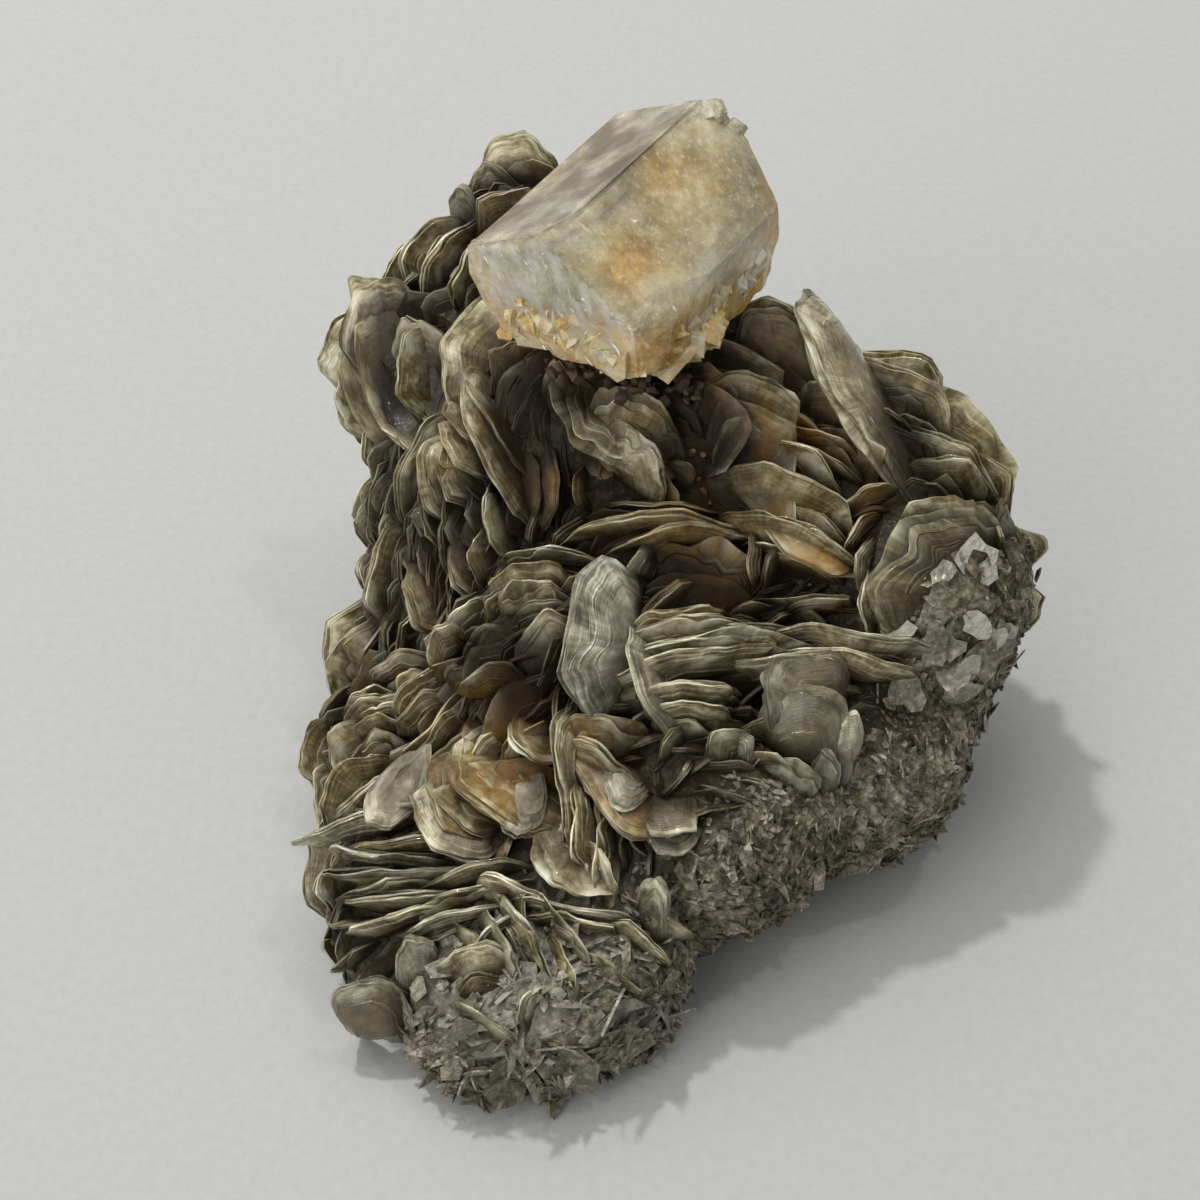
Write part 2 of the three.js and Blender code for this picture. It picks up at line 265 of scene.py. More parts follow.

# Books listed one by one, in the working frame. Each row: the middle of the rim (across, up, out),
# the way it grows (degrees counter-clockwise from across, degrees towards out), its turn about that,
# length, width, thickness, then iron stain (0 to 1) and tone (-1 dark to 1 silver).
BOOKS = {
    "crest": [
        (-8, 52, -14, 85, 25, 0, 12, 9.5, 3.2, 0.15, 0.0),
        (-13, 48, -13, 115, 30, 20, 11, 7, 2.5, 0.1, 0.1),
        (-15, 45, -12, 110, 40, 45, 10, 6, 2.2, 0.1, 0.3),
        (-18, 38.5, -9, 150, 50, 0, 10, 11, 2.2, 0.1, 0.1),
        (-21, 39.5, -12, 145, 45, 0, 11, 11.5, 2.0, 0.1, 0.1),
        (-23, 36, -14, 150, 50, 0, 10, 8, 1.8, 0.1, 0.0),
        (-15.5, 36, -6, 160, 60, 0, 9, 9, 1.8, 0.2, -0.2),
        (-11, 43, -9, 120, 45, 0, 9, 8, 1.6, 0.3, -0.2),
    ],
    "left_dome": [
        (-27, 37, -18, 115, 20, 0, 15, 8, 3.0, 0.05, 0.1),
        (-29, 31.5, -15, 125, 28, 0, 14, 12, 2.8, 0.0, 0.0),
        (-29.5, 25.5, -16, 155, 32, 0, 12, 12, 2.4, 0.0, 0.0),
        (-23.5, 34, -12, 100, 18, 0, 13, 9.5, 2.6, 0.0, 0.1),
        (-20, 30, -9, 110, 30, 20, 10, 7, 2.0, 0.1, 0.1),
    ],
    "crystal_foot": [
        (-16, 28, 0, 155, 25, 0, 12, 15, 2.4, 0.15, 0.1),
        (-21.5, 26.5, -8, 160, 40, 0, 11, 11, 2.0, 0.1, 0.0),
        (-9, 25, 5, 120, 30, 0, 11, 7, 1.8, 0.75, 0.0),
        (-4, 23.5, 8, 110, 30, 0, 9, 6, 1.6, 0.7, 0.0),
        (0.5, 22.5, 8, 60, 60, 0, 8, 5, 1.4, 0.6, -0.2),
        (16.5, 30, 5, 105, 25, 0, 11, 9, 2.0, 0.6, -0.3),
        (19.5, 31.5, 3, 55, 30, 0, 13, 12, 2.2, 0.4, -0.1),
    ],
    "column": [
        (-26.5, 18, -17, 172, 40, 0, 13, 10, 2.8, 0.05, 0.0),
        (-26.5, 10, -18, 185, 45, 0, 13, 10, 2.8, 0.05, 0.0),
        (-25, 3.5, -17, 190, 50, 0, 12, 8, 2.4, 0.1, 0.0),
        (-19.5, 12, -7, 165, 45, 0, 10, 14, 2.0, 0.1, 0.1),
        (-21.5, 1, -7, 172, 50, 0, 10, 13, 2.0, 0.1, 0.1),
    ],
    "left_petals": [
        (-30.5, -4, -12, 160, 30, 0, 15, 17, 3.0, 0.15, -0.1),
        (-26.5, -4, -6, 145, 25, 0, 13, 11, 2.2, 0.1, 0.1),
        (-20, -1.5, 1, 215, 50, 0, 10, 9, 2.2, 0.35, 0.2),
        (-29, -14.5, -7, 150, 35, 0, 12, 9, 2.5, 0.1, 0.0),
        (-31, -19.5, -6, 165, 35, 0, 13, 9, 2.5, 0.1, 0.0),
        (-26, -14, -2, 130, 25, 0, 10, 8, 2.0, 0.15, 0.0),
        (-20.5, -5, 0.5, 95, 45, 0, 7, 8, 1.2, 0.2, 0.1),
        (-23.5, -9.5, -1, 100, 50, 0, 8, 7, 1.6, 0.15, 0.1),
        (-23, -10.8, 0, 95, 50, 0, 7, 7, 1.0, 0.15, 0.1),
        (-21.5, -11.5, 1, 88, 50, 0, 7, 6.5, 1.0, 0.15, 0.1),
        (-22, -12.8, 1.7, 85, 50, 0, 7, 6, 1.0, 0.15, 0.1),
        (-21.5, -14.8, 3, 95, 35, 0, 9, 8, 2.0, 0.2, 0.0),
    ],
    "roofs": [
        (-17, -13, 7, 139, 45, 0, 9, 13, 1.8, 0.3, 0.0),
        (-10.7, -12.7, 10, 132, 50, 0, 9, 12.5, 1.8, 0.25, -0.1),
        (-7.8, -12, 11, 130, 55, 0, 7, 6.5, 1.4, 0.4, 0.0),
        (-18, -8, 4, 125, 40, 0, 9, 8, 1.6, 0.25, 0.0),
        (-17.5, -9.7, 5, 120, 45, 0, 9, 8, 1.5, 0.2, 0.1),
        (-20.3, -7.5, 2, 130, 30, 0, 8, 6, 1.6, 0.2, 0.0),
        (-14.5, -3, 8, 110, 40, 0, 6, 5.5, 1.4, 0.15, 0.1),
        (-14, -1.5, 8, 135, 45, 0, 7, 7, 1.4, 0.2, 0.0),
        (-9, -6.5, 10, 95, 50, 0, 6, 7, 1.2, 1.0, 0.0),
    ],
    "hollow_left": [
        (-10.5, 13.8, 6, 208, 50, 0, 10, 18, 2.0, 0.25, 0.2),
        (-13.5, 13.5, 4, 233, 50, 0, 8, 9, 1.8, 0.4, 0.2),
        (-17.7, 10.4, 1, 203, 40, 0, 9, 10, 2.0, 0.1, 0.2),
        (-15, 10.5, 2.5, 215, 45, 0, 7, 8, 1.4, 0.2, 0.1),
        (-11.5, 8, 4.5, 190, 60, 0, 8, 8.5, 1.6, 0.1, -0.1),
        (-12.8, 4.5, 5, 185, 60, 0, 7, 7, 1.4, 0.1, 0.1),
        (-4, 12.5, 8, 5, 65, 0, 7, 8, 1.5, 0.8, -0.2),
        (-2.7, 11.5, 9, 175, 65, 0, 7, 5.5, 1.0, 0.6, 0.0),
    ],
    "hollow_middle": [
        (-2.2, 15.5, 12, 222, 40, 0, 12, 17, 1.8, 0.12, 0.2),
        (5.3, 15.5, 12.5, 35, 50, 0, 8, 10, 1.6, 0.2, 0.3),
        (4, 20.5, 12, 70, 35, 0, 10, 11, 1.6, 0.3, 0.0),
        (8.5, 14, 9.5, 60, 50, 0, 7, 5, 1.2, 0.75, 0.0),
        (7, 12.5, 10, 50, 50, 0, 7, 6, 1.2, 0.75, 0.0),
        (6.5, 8.6, 12, 90, 72, 0, 10, 18, 1.5, 0.35, 0.0),
        (7.5, 7, 12.5, 95, 75, 0, 10, 16, 1.4, 0.3, -0.2),
        (-4, 5, 10, 85, 70, 0, 7, 12, 1.0, 0.4, -0.1),
        (9.5, 5.5, 7, 90, 15, 0, 8, 13, 1.5, 0.85, -0.2),
        (3.5, 3, 10, 160, 55, 0, 7, 6, 1.2, 0.3, -0.3),
        (15, 4, 10.5, 180, 70, 0, 7, 6.5, 0.8, 0.5, 0.1),
    ],
    "hollow_right": [
        (13, 22.5, 9, 97, 35, 0, 10, 11.5, 1.8, 0.55, -0.1),
        (12.5, 18, 8.5, 110, 45, 0, 8, 7, 1.6, 0.5, 0.0),
        (20, 13, 10, 68, 40, 0, 10, 18, 1.6, 0.2, 0.0),
        (19, 16, 8.5, 72, 60, 0, 8, 13, 1.2, 0.5, 0.0),
        (22, 17, 7, 70, 65, 0, 8, 11, 1.0, 1.0, -0.1),
        (22.5, 15.2, 7.5, 68, 65, 0, 8, 10, 1.0, 0.9, -0.1),
        (20.5, 18.7, 6.5, 72, 65, 0, 8, 10, 1.0, 1.0, -0.1),
        (20, 7.7, 11.5, 66, 60, 0, 9, 16, 1.4, 0.3, 0.1),
        (20, 3.7, 11.5, 240, 50, 0, 9, 11.5, 1.4, 0.7, 0.0),
        (20, 0.3, 11, 95, 70, 0, 7, 13, 0.9, 0.4, 0.0),
        (24, 19.5, 9, 211, 50, 0, 10, 24, 2.0, 0.12, 0.3),
    ],
    "right_dome": [
        (30.5, 24.3, 2, 76, 35, 0, 11, 15, 1.8, 0.1, 0.1),
        (40, 20, 0, 50, 35, 0, 15, 20, 2.2, 0.1, 0.1),
        (37, 16.5, 4, 55, 45, 0, 11, 14, 1.8, 0.15, 0.1),
        (36.5, 14.3, 5, 70, 45, 0, 9, 10, 1.6, 0.25, 0.0),
        (27, 19, 6, 40, 50, 0, 8, 12, 1.6, 0.5, 0.1),
        (28.5, 15.5, 7, 30, 50, 0, 8, 9, 1.6, 0.5, 0.0),
        (43, 13, 1, 30, 40, 0, 12, 12, 2.0, 0.1, 0.0),
        (48, 5.5, -5, 5, 35, 0, 14, 9, 2.6, 0.05, -0.1),
        (47, -1, -6, -5, 40, 0, 13, 9, 2.6, 0.05, -0.1),
        (25.5, 10.5, 9, 120, 60, 0, 8, 9, 1.2, 0.6, -0.1),
        (25, 7, 10, 150, 60, 0, 8, 7.5, 1.2, 0.5, 0.0),
        (25.5, 3.5, 11, 170, 55, 0, 8, 7.5, 1.2, 0.3, 0.1),
        (26, 0, 11.5, 185, 60, 0, 8, 7.5, 1.2, 0.2, 0.1),
        (28, 4.5, 11, 155, 18, 0, 13, 15, 1.8, 0.0, -0.35),
        (33, 9.5, 8, 110, 25, 0, 9, 11, 1.4, 0.0, -0.1),
    ],
    "front_middle": [
        (-7.5, 4, 11, 100, 35, 0, 10, 9, 1.8, 0.1, 0.0),
        (-7, 2, 12, 98, 40, 0, 8, 8, 1.6, 0.2, 0.0),
        (-10.5, 0.5, 10.5, 130, 40, 0, 8, 7, 1.6, 0.15, 0.0),
        (-5.5, -1.5, 12.5, 110, 30, 0, 9, 7, 2.0, 0.3, 0.1),
        (-3.8, -4, 15.5, 178, 35, 0, 10, 15.5, 3.0, 0.0, 0.7),
        (3.8, -8.7, 16, 202, 60, 0, 8, 12.5, 1.6, 0.05, 0.5),
        (7, -0.8, 13.5, 100, 50, 0, 9, 12, 1.4, 0.15, 0.0),
        (8, -2, 14, 98, 55, 0, 8, 13, 1.4, 0.15, 0.1),
        (10, -3.2, 15, 98, 60, 0, 9, 20, 1.6, 0.05, 0.3),
        (25, -3, 12, 86, 60, 0, 9, 20, 1.8, 0.05, 0.3),
        (8.5, -5, 15.5, 100, 62, 0, 8, 17, 1.6, 0.0, 0.2),
        (24, -5, 13, 85, 65, 0, 8, 18, 1.6, 0.0, 0.1),
        (19, -5.6, 14, 88, 65, 0, 8, 14, 1.2, 0.0, 0.2),
        (8, -8.3, 16, 95, 65, 0, 7, 9, 1.2, 0.0, 0.2),
        (8.5, -10, 16, 92, 65, 0, 7, 8.5, 1.2, 0.0, 0.1),
        (15.5, -8, 14, 160, 15, 0, 9, 9, 1.6, 0.0, -0.8),
        (21, -8, 13.5, 80, 12, 0, 10, 9, 1.8, 0.0, -0.8),
        (24.5, -11, 13, 90, 20, 0, 6, 3, 1.0, 0.0, 0.6),
        (22, -14, 13, 90, 20, 0, 6, 3, 1.0, 0.0, 0.6),
        (18, -16, 13.5, 92, 35, 10, 7, 6, 1.2, 0.0, 0.5),
    ],
    "front_low": [
        (14.5, -13, 15, 60, 40, 30, 6, 4, 0.8, 0.0, 0.6),
        (11, -13.5, 15, 130, 40, 0, 7, 6, 1.0, 0.0, 0.1),
        (0.5, -15, 15, 55, 65, 0, 8, 10, 2.6, 0.6, 0.1),
        (1.3, -22, 17, 238, 48, 0, 10, 14, 1.6, 0.45, 0.1),
        (6, -24.5, 17, 250, 40, -20, 9, 7, 1.2, 0.1, 0.6),
        (8.5, -23, 17, 310, 45, 20, 8, 6, 1.2, 0.15, 0.5),
        (1.5, -20, 17, 230, 50, 0, 6, 4.5, 1.0, 0.1, 0.6),
        (-4.3, -17.5, 16, 184, 62, 0, 9, 15, 1.6, 0.1, 0.2),
        (-2.5, -24.5, 16.5, 190, 65, 0, 9, 12, 1.6, 0.0, 0.0),
        (-0.5, -26, 17, 188, 65, 0, 8, 10, 1.4, 0.0, 0.1),
        (1.5, -27, 17, 15, 60, 0, 8, 8, 1.4, 0.0, 0.0),
        (5.5, -26.5, 17, 92, 20, 35, 8, 4, 2.0, 0.0, 0.5),
        (-0.5, -11.3, 14, 95, 35, 0, 8, 9, 1.6, 0.4, 0.0),
        (-9, -15.5, 12, 120, 25, 0, 9, 7.5, 1.6, 1.0, 0.0),
        (-7.5, -15.5, 14, 235, 55, 0, 7, 7, 2.2, 0.5, 0.0),
    ],
    "lower_left": [
        (-22.5, -18.5, 9, 112, 58, 0, 10, 14, 1.8, 0.1, 0.3),
        (-27, -17.5, 8, 140, 50, 0, 9, 9, 1.6, 0.1, 0.1),
        (-17, -24.3, 12.5, 90, 68, 0, 10, 17, 1.8, 0.0, -0.3),
        (-19, -25.8, 12.8, 84, 68, 0, 9, 15, 1.3, 0.0, 0.5),
        (-16.5, -27.4, 12.8, 92, 70, 0, 10, 18, 2.2, 0.0, -0.6),
        (-19, -28.6, 12.6, 98, 68, 0, 9, 12, 1.2, 0.0, 0.2),
        (-15.5, -29.4, 13.2, 97, 70, 0, 10, 16, 2.0, 0.0, -0.5),
        (-18, -31, 12.6, 106, 66, 0, 9, 13, 1.4, 0.0, 0.1),
        (-27.5, -27.5, 9, 178, 50, 0, 11, 13, 2.6, 0.0, -0.1),
        (-26.5, -30.5, 9, 190, 55, 0, 10, 9, 1.8, 0.0, 0.2),
        (-13, -30.8, 14, 104, 66, 0, 9, 12, 1.2, 0.0, 0.3),
        (-11, -26.5, 14.5, 100, 60, 0, 10, 12, 1.6, 0.1, 0.3),
        (-12, -28.5, 14.5, 105, 62, 0, 9, 10, 1.4, 0.0, 0.1),
        (-8, -28, 15.5, 70, 55, 0, 9, 9, 1.4, 0.0, 0.2),
        (-24, -21.5, 12, 105, 66, 0, 9, 15, 1.6, 0.0, 0.4),
        (-30.5, -29, 4, 190, 20, 0, 11, 12, 3.0, 0.0, -0.1),
        (-14.7, -25.5, 13.5, 246, 55, 0, 9, 10, 1.8, 0.1, 0.3),
        (-14.5, -23.3, 13.5, 233, 55, 0, 9, 10, 1.5, 0.4, 0.1),
        (-9.8, -22.5, 14, 237, 57, 0, 9, 15, 1.5, 0.4, 0.0),
        (-9.6, -20, 13.5, 238, 58, 0, 9, 14.5, 1.4, 0.45, 0.0),
        (-8.5, -23, 15, 240, 55, 0, 6, 4.5, 1.4, 0.1, 0.6),
        (-22, -22, 13.5, 245, 55, 0, 7, 5, 1.2, 0.1, 0.5),
        (-4.5, -28.7, 16, 236, 55, 0, 8, 9, 1.2, 0.0, 0.2),
    ],
    "toe": [
        (-10.3, -33.4, 15, 140, 62, 0, 9, 11, 1.2, 0.0, 0.5),
        (-3, -30.2, 17, 82, 65, 0, 9, 15, 1.2, 0.0, 0.4),
        (-3.5, -31.8, 16.5, 78, 65, 0, 9, 12, 1.2, 0.0, 0.0),
        (-6, -34.3, 16, 23, 62, 0, 9, 11, 1.2, 0.0, 0.3),
        (-2.7, -34, 16, 33, 62, 0, 9, 11, 1.2, 0.0, 0.2),
        (-4.5, -36.5, 15, 28, 62, 0, 8, 9, 1.0, 0.0, 0.0),
        (-8.3, -36.3, 15, 20, 60, 0, 9, 9, 1.0, 0.0, 0.2),
        (2.4, -33.5, 15, 55, 60, 0, 8, 9, 1.2, 0.0, 0.1),
        (-17, -33, 14.5, 100, 25, 0, 8, 4.5, 1.2, 0.0, 0.6),
        (-12, -36, 15, 115, 28, 10, 8, 8, 1.4, 0.0, 0.1),
        (-19.5, -36.5, 13, 75, 20, -10, 8, 7.5, 1.4, 0.0, -0.7),
        # This small silver book is a painted glint.
        (-22.5, -39, 13, 120, 14, 20, 6, 4, 1.4, 0.0, 0.9),
        (-9, -40, 14, 160, 55, 0, 7, 6, 1.0, 0.0, 0.2),
        (0, -36.5, 14, 60, 58, 0, 7, 7.5, 0.9, 0.0, 0.2),
        (-3, -38.5, 13.5, 20, 58, 0, 7, 7.5, 0.9, 0.0, 0.0),
        (-6.5, -40.5, 13, 50, 58, 0, 7, 7.5, 0.9, 0.0, 0.2),
        (-10.5, -43.5, 12.5, 150, 55, 0, 7, 7, 0.9, 0.0, 0.1),
        (6, -31, 15, 75, 60, 0, 7, 7.5, 0.9, 0.0, 0.2),
    ],
}


# Numbers


def unit(vector):
    """One vector, or each row of many, at length 1."""
    return vector / np.linalg.norm(vector, axis=-1, keepdims=True)


def working_to_frame(points):
    return np.asarray(points, float) @ AXES


def lattice_noise(points, seed):
    """Smooth noise from -1 to 1 at rows of points, with one lattice cell per unit."""
    cell = np.floor(points).astype(np.int64)
    part = points - cell
    part = part * part * (3 - 2 * part)
    total = np.zeros(len(points))
    for dx in (0, 1):
        for dy in (0, 1):
            for dz in (0, 1):
                key = (cell[:, 0] + dx) * 374761393 + (cell[:, 1] + dy) * 668265263
                key = (key + (cell[:, 2] + dz) * 1442695041 + seed * 974711) & 0xFFFFFFFF
                key = ((key ^ (key >> 13)) * 1274126177) & 0xFFFFFFFF
                key = key ^ (key >> 16)
                value = (key & 0xFFFF) / 32767.5 - 1
                weight = np.abs(1 - dx - part[:, 0]) * np.abs(1 - dy - part[:, 1])
                total += value * weight * np.abs(1 - dz - part[:, 2])
    return total


def layered_noise(points, size, seed, octaves):
    total = np.zeros(len(points))
    weight = 1.0
    for octave in range(octaves):
        total += weight * lattice_noise(points / size * 2 ** octave, seed + octave)
        weight *= 0.5
    return total


def spot_weight(points, spots):
    weight = np.zeros(len(points))
    for x, y, z, radius, strength in spots:
        distance = np.linalg.norm(points - (x, y, z), axis=1)
        weight += strength * np.exp(-(distance / radius) ** 2)
    return np.clip(weight, 0, 1)


# The rock


def rock_field(points):
    """Below zero inside the rock, which is the lobes run together softly."""
    total = np.zeros(len(points))
    for x, y, z, radius in ROCK_LOBES:
        distance = np.linalg.norm(points - (x, y, z), axis=1) - radius
        total += np.exp(-distance / ROCK_BLEND)
    return -ROCK_BLEND * np.log(total)


def rock_reach(directions):
    """How far the rock's surface is from its centre along each direction."""
    near = np.zeros(len(directions))
    far = np.full(len(directions), ROCK_REACH)
    for _ in range(16):
        middle = (near + far) / 2
        inside = rock_field(ROCK_CENTRE + directions * middle[:, None]) < 0
        near = np.where(inside, middle, near)
        far = np.where(inside, far, middle)
    return near


def hollow_depth(points):
    """How far the rock's surface is pushed in at each point."""
    depth = np.zeros(len(points))
    for x, y, z, radius, deepest in ROCK_HOLLOWS:
        distance = np.linalg.norm(points - (x, y, z), axis=1)
        depth += deepest * np.exp(-(distance / radius) ** 2)
    return depth


def rock_points(directions):
    """Points on the rock's surface along directions from its centre, hollows included."""
    reach = rock_reach(directions)
    points = ROCK_CENTRE + directions * reach[:, None]
    return points - directions * hollow_depth(points)[:, None]


def field_normal(points):
    step = 0.3
    slope = np.zeros_like(points)
    for axis in range(3):
        offset = np.zeros(3)
        offset[axis] = step
        slope[:, axis] = rock_field(points + offset) - rock_field(points - offset)
    return unit(slope)


def rockiness(points, normals):
    """Above zero where the fine-grained rock shows, below zero where books cover it."""
    local = (points - MIDDLE) @ AXES.T
    lower_right = (0.66 * local[:, 0] - 0.75 * local[:, 1] - ROCK_LINE) / 8
    facing = normals @ unit(ROCK_SIDE) - 0.55
    low = (6 - points[:, 2]) / 8
    rocky = np.maximum(np.maximum(np.minimum(lower_right, facing + 0.6), facing), low)
    rocky = np.maximum(rocky, spot_weight(points, FILM_SPOTS) - 0.4)
    rocky = np.maximum(rocky, spot_weight(points, SPLINTERY_SPOTS) - 0.4)
    return rocky + 0.1 * layered_noise(points, 7.0, 5, 2)


# Meshes


class Soup:
    """Vertices, faces and per-vertex values of many closed surfaces, joined. On mica the deep shade
    value is painted shade in the grooves between sheets. Beryl has no rims or sheets: there rim says
    how clear it is, layer how white, and the deep shade value is painted shade on the upper left
    face, partly that face's own smoky grey-brown."""

    VALUES = ("rim", "deep", "layer", "ring", "along", "stain", "tone", "chance")

    def __init__(self):
        self.points = []
        self.faces = []
        self.values = {name: [] for name in self.VALUES}
        self.count = 0

    def add(self, points, faces, **values):
        self.points.append(points)
        self.faces.extend([tuple(int(i) + self.count for i in face) for face in faces])
        for name in self.VALUES:
            value = values.get(name, 0.0)
            value = np.asarray(value, float)
            self.values[name].append(np.broadcast_to(value, (len(points),)))
        self.count += len(points)


def make_object(name, soup, material, slot, node, sharp=32):
    mesh = bpy.data.meshes.new(name)
    points = np.concatenate(soup.points) * MM
    points[:, 2] = np.maximum(points[:, 2], 0.0)
    mesh.from_pydata(points.tolist(), [], soup.faces)
    values = {value_name: np.concatenate(parts) for value_name, parts in soup.values.items()}
    # The height over the rock, set lower in stained places, is the mask for painted shade between
    # books.
    values["height"] = rock_field(points / MM) + hollow_depth(points / MM)
    values["height"] -= STAIN_DEPTH * spot_weight(points / MM, STAIN_SPOTS)
    for value_name, value in values.items():
        layer = mesh.attributes.new(value_name, "FLOAT", "POINT")
        layer.data.foreach_set("value", value.astype(np.float32))
    mesh.polygons.foreach_set("use_smooth", np.full(len(mesh.polygons), True))
    mesh.materials.append(material)
    mesh.update()
    mesh.set_sharp_from_angle(angle=math.radians(sharp))
    piece = bpy.data.objects.new(name, mesh)
    bpy.context.scene.collection.objects.link(piece)
    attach(piece, "root")
    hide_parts(node)


def closed_parts(mesh):
    """The points and faces of a bmesh, which is then freed."""
    points = np.array([vert.co for vert in mesh.verts])
    faces = [[vert.index for vert in face.verts] for face in mesh.faces]
    mesh.free()
    return points, faces


def hull(corners):
    """The points and faces of the smallest convex block round some corners."""
    block = bmesh.new()
    for corner in corners:
        block.verts.new(corner)
    bmesh.ops.convex_hull(block, input=block.verts)
    block.verts.index_update()
    return closed_parts(block)


def outline_angles(count):
    """Angles round an outline, closer together at the exposed rim than at the root."""
    turn = np.linspace(-math.pi, math.pi, count, endpoint=False)
    return turn - 0.45 * np.sin(turn)


def drift(angle, size, rng):
    """A slow random change round an outline."""
    value = np.zeros(len(angle))
    for wave in (1, 2, 3, 5, 8, 13):
        value += np.cos(wave * angle + rng.uniform(0, 2 * math.pi)) / wave ** 0.6
    return size * value / 1.6


def book_outline(angle, length, width, rng):
    """The book seen face on: a rim near x = 0 with a few straight sides, then a long root."""
    sides = rng.integers(5, 9)
    turns = (np.arange(sides) + rng.uniform(-0.35, 0.35, sides)) * 2 * math.pi / sides
    turns += rng.uniform(0, 2 * math.pi)
    facing = np.maximum(np.cos(angle[:, None] - turns), 0.1)
    reach = np.minimum((rng.uniform(0.8, 1.0, sides) / facing).min(axis=1), 1.12)
    reach = 0.25 + 0.75 * reach
    for wave in (5, 9, 14):
        reach += 0.03 / wave ** 0.5 * np.cos(wave * angle + rng.uniform(0, 2 * math.pi))
    cosine, sine = np.cos(angle), np.sin(angle)
    x = np.where(cosine > 0, 0.55, 0.6) * length * cosine * reach
    y = width / 2 * sine * reach * np.where(cosine > 0, 1.0, 1 + 0.3 * cosine)
    x -= x.max()
    return x, y + rng.uniform(-0.15, 0.15) * x


def add_book(soup, place, length, width, thickness, stain, tone, rng, droop, segments, steps):
    """One book of mica sheets. Its rim's middle is at the origin, it grows along x and its
    faces look along z and -z, before place puts it where it stands. It is thickest in the
    middle, its faces come down to the rim in growth steps, and its rim is a stack of sheets."""
    angle = outline_angles(segments)
    outline_x, outline_y = book_outline(angle, length, width, rng)
    hinge = np.array([-0.8 * length, rng.uniform(-0.08, 0.08) * width])
    reach = np.hypot(outline_x - hinge[0], outline_y - hinge[1])
    rim_thickness = thickness * rng.uniform(0.3, 0.5)
    rows = []

    def add_row(scale, height, rim=0.0, deep=0.0):
        rows.append((scale, np.broadcast_to(height, (segments,)), rim, deep))

    def add_face(side, count, edge, edge_height):
        """Rows of one face from the middle out, or from the rim in, with growth steps."""
        rise = thickness / 2 - edge_height
        spots = np.sort(edge.mean() - 0.58 * rng.uniform(0.03, 1.0, count) ** 1.3)
        face = [(np.full(segments, 0.3), edge_height + rise)]
        for spot in spots:
            line = np.clip(spot * edge + drift(angle, 0.035, rng), 0.32, edge - 0.025)
            level = edge_height + rise * (1 - spot ** 2.6)
            step = rng.uniform(0.02, 0.08)
            face.append((line - 0.008, level + step))
            face.append((line + 0.004, level - step))
        face.append((edge - 0.22 / reach, edge_height + 0.03))
        previous = np.zeros(segments)
        ordered = []
        for scale, height in face:
            scale = np.maximum(scale, previous + 0.003)
            ordered.append((scale, height))
            previous = scale
        for scale, height in ordered if side > 0 else ordered[::-1]:
            # Near the rim a face takes the pale rim colour, partly painted highlight.
            from_rim = ((edge - scale) * reach).mean()
            add_row(scale, side * height, 0.8 * max(0.0, 1 - from_rim / 2.2))

    sheets = max(2, round(rim_thickness / SHEET))
    shares = rng.uniform(0.4, 1.6, sheets)
    shares *= rim_thickness / shares.sum()
    bites = []
    for sheet in range(sheets):
        rounding = 0.2 * (2 * (sheet + 0.5) / sheets - 1) ** 2
        set_back = np.maximum(rounding + rng.uniform(0.0, 0.3) + drift(angle, 0.22, rng), 0)
        if rng.uniform() < 0.35:
            set_back = set_back + np.maximum(drift(angle, 1.6, rng), 0)
        bites.append(1 - np.minimum(set_back, 0.3 * reach) / reach)
    half = rim_thickness / 2
    level = half
    seen_steps, hidden_steps = (steps, 1) if droop > 0 else (1, steps)
    add_face(1, seen_steps, bites[0], half)
    for sheet, pitch in enumerate(shares):
        flutter = drift(angle, 0.1 * pitch, rng)
        upper = level + flutter
        lower = upper - pitch * 0.75
        level -= pitch
        add_row(bites[sheet], upper, 1.0)
        add_row(bites[sheet], lower, 0.85)
        if sheet < sheets - 1:
            groove = np.minimum(bites[sheet], bites[sheet + 1])
            # Grooves between sheets carry painted shade, full in the deep ones.
            deep = rng.uniform() < 0.25
            depth = rng.uniform(0.4, 0.9) if deep else rng.uniform(0.05, 0.15)
            add_row(groove - depth / reach, lower - pitch * 0.12, 0.5, 1.0 if deep else 0.3)
    add_face(-1, hidden_steps, bites[-1], half - shares[-1] * 0.25)

    scales = np.array([row[0] for row in rows])
    x = hinge[0] + (outline_x - hinge[0]) * scales
    y = hinge[1] + (outline_y - hinge[1]) * scales
    z = np.array([row[1] for row in rows])
    z *= np.clip(1 - 0.45 * np.abs(2 * y / width) ** 4, 0.4, 1)
    z -= rng.uniform(0.0, 0.12) * (x + length / 2) ** 2 / length
    z -= droop * 1.1 * np.minimum(x + 0.45 * length, 0) ** 2 / length
    z -= droop * rng.uniform(0.08, 0.28) * y ** 2 / width
    z += rng.uniform(-0.5, 0.5) * x * y / (length + width)
    flat = np.stack([x.ravel(), y.ravel(), np.full(x.size, rng.uniform(0, 99))], axis=1)
    z += 0.42 * lattice_noise(flat / 4.0, 3).reshape(z.shape)
    z += 0.1 * lattice_noise(flat / 1.3, 4).reshape(z.shape)
    middles = [[hinge[0], hinge[1], z[0].mean()], [hinge[0], hinge[1], z[-1].mean()]]
    local = np.concatenate([np.stack([x, y, z], axis=2).reshape(-1, 3), middles])

    faces = []
    for row in range(len(rows) - 1):
        for i in range(segments):
            j = (i + 1) % segments
            near = row * segments
            faces.append((near + i, near + segments + i, near + segments + j, near + j))
    top = len(rows) * segments
    last = top - segments
    for i in range(segments):
        j = (i + 1) % segments
        faces.append((top, i, j))
        faces.append((top + 1, last + j, last + i))

    def per_row(value):
        return np.append(np.repeat(value, segments), [0, 0])

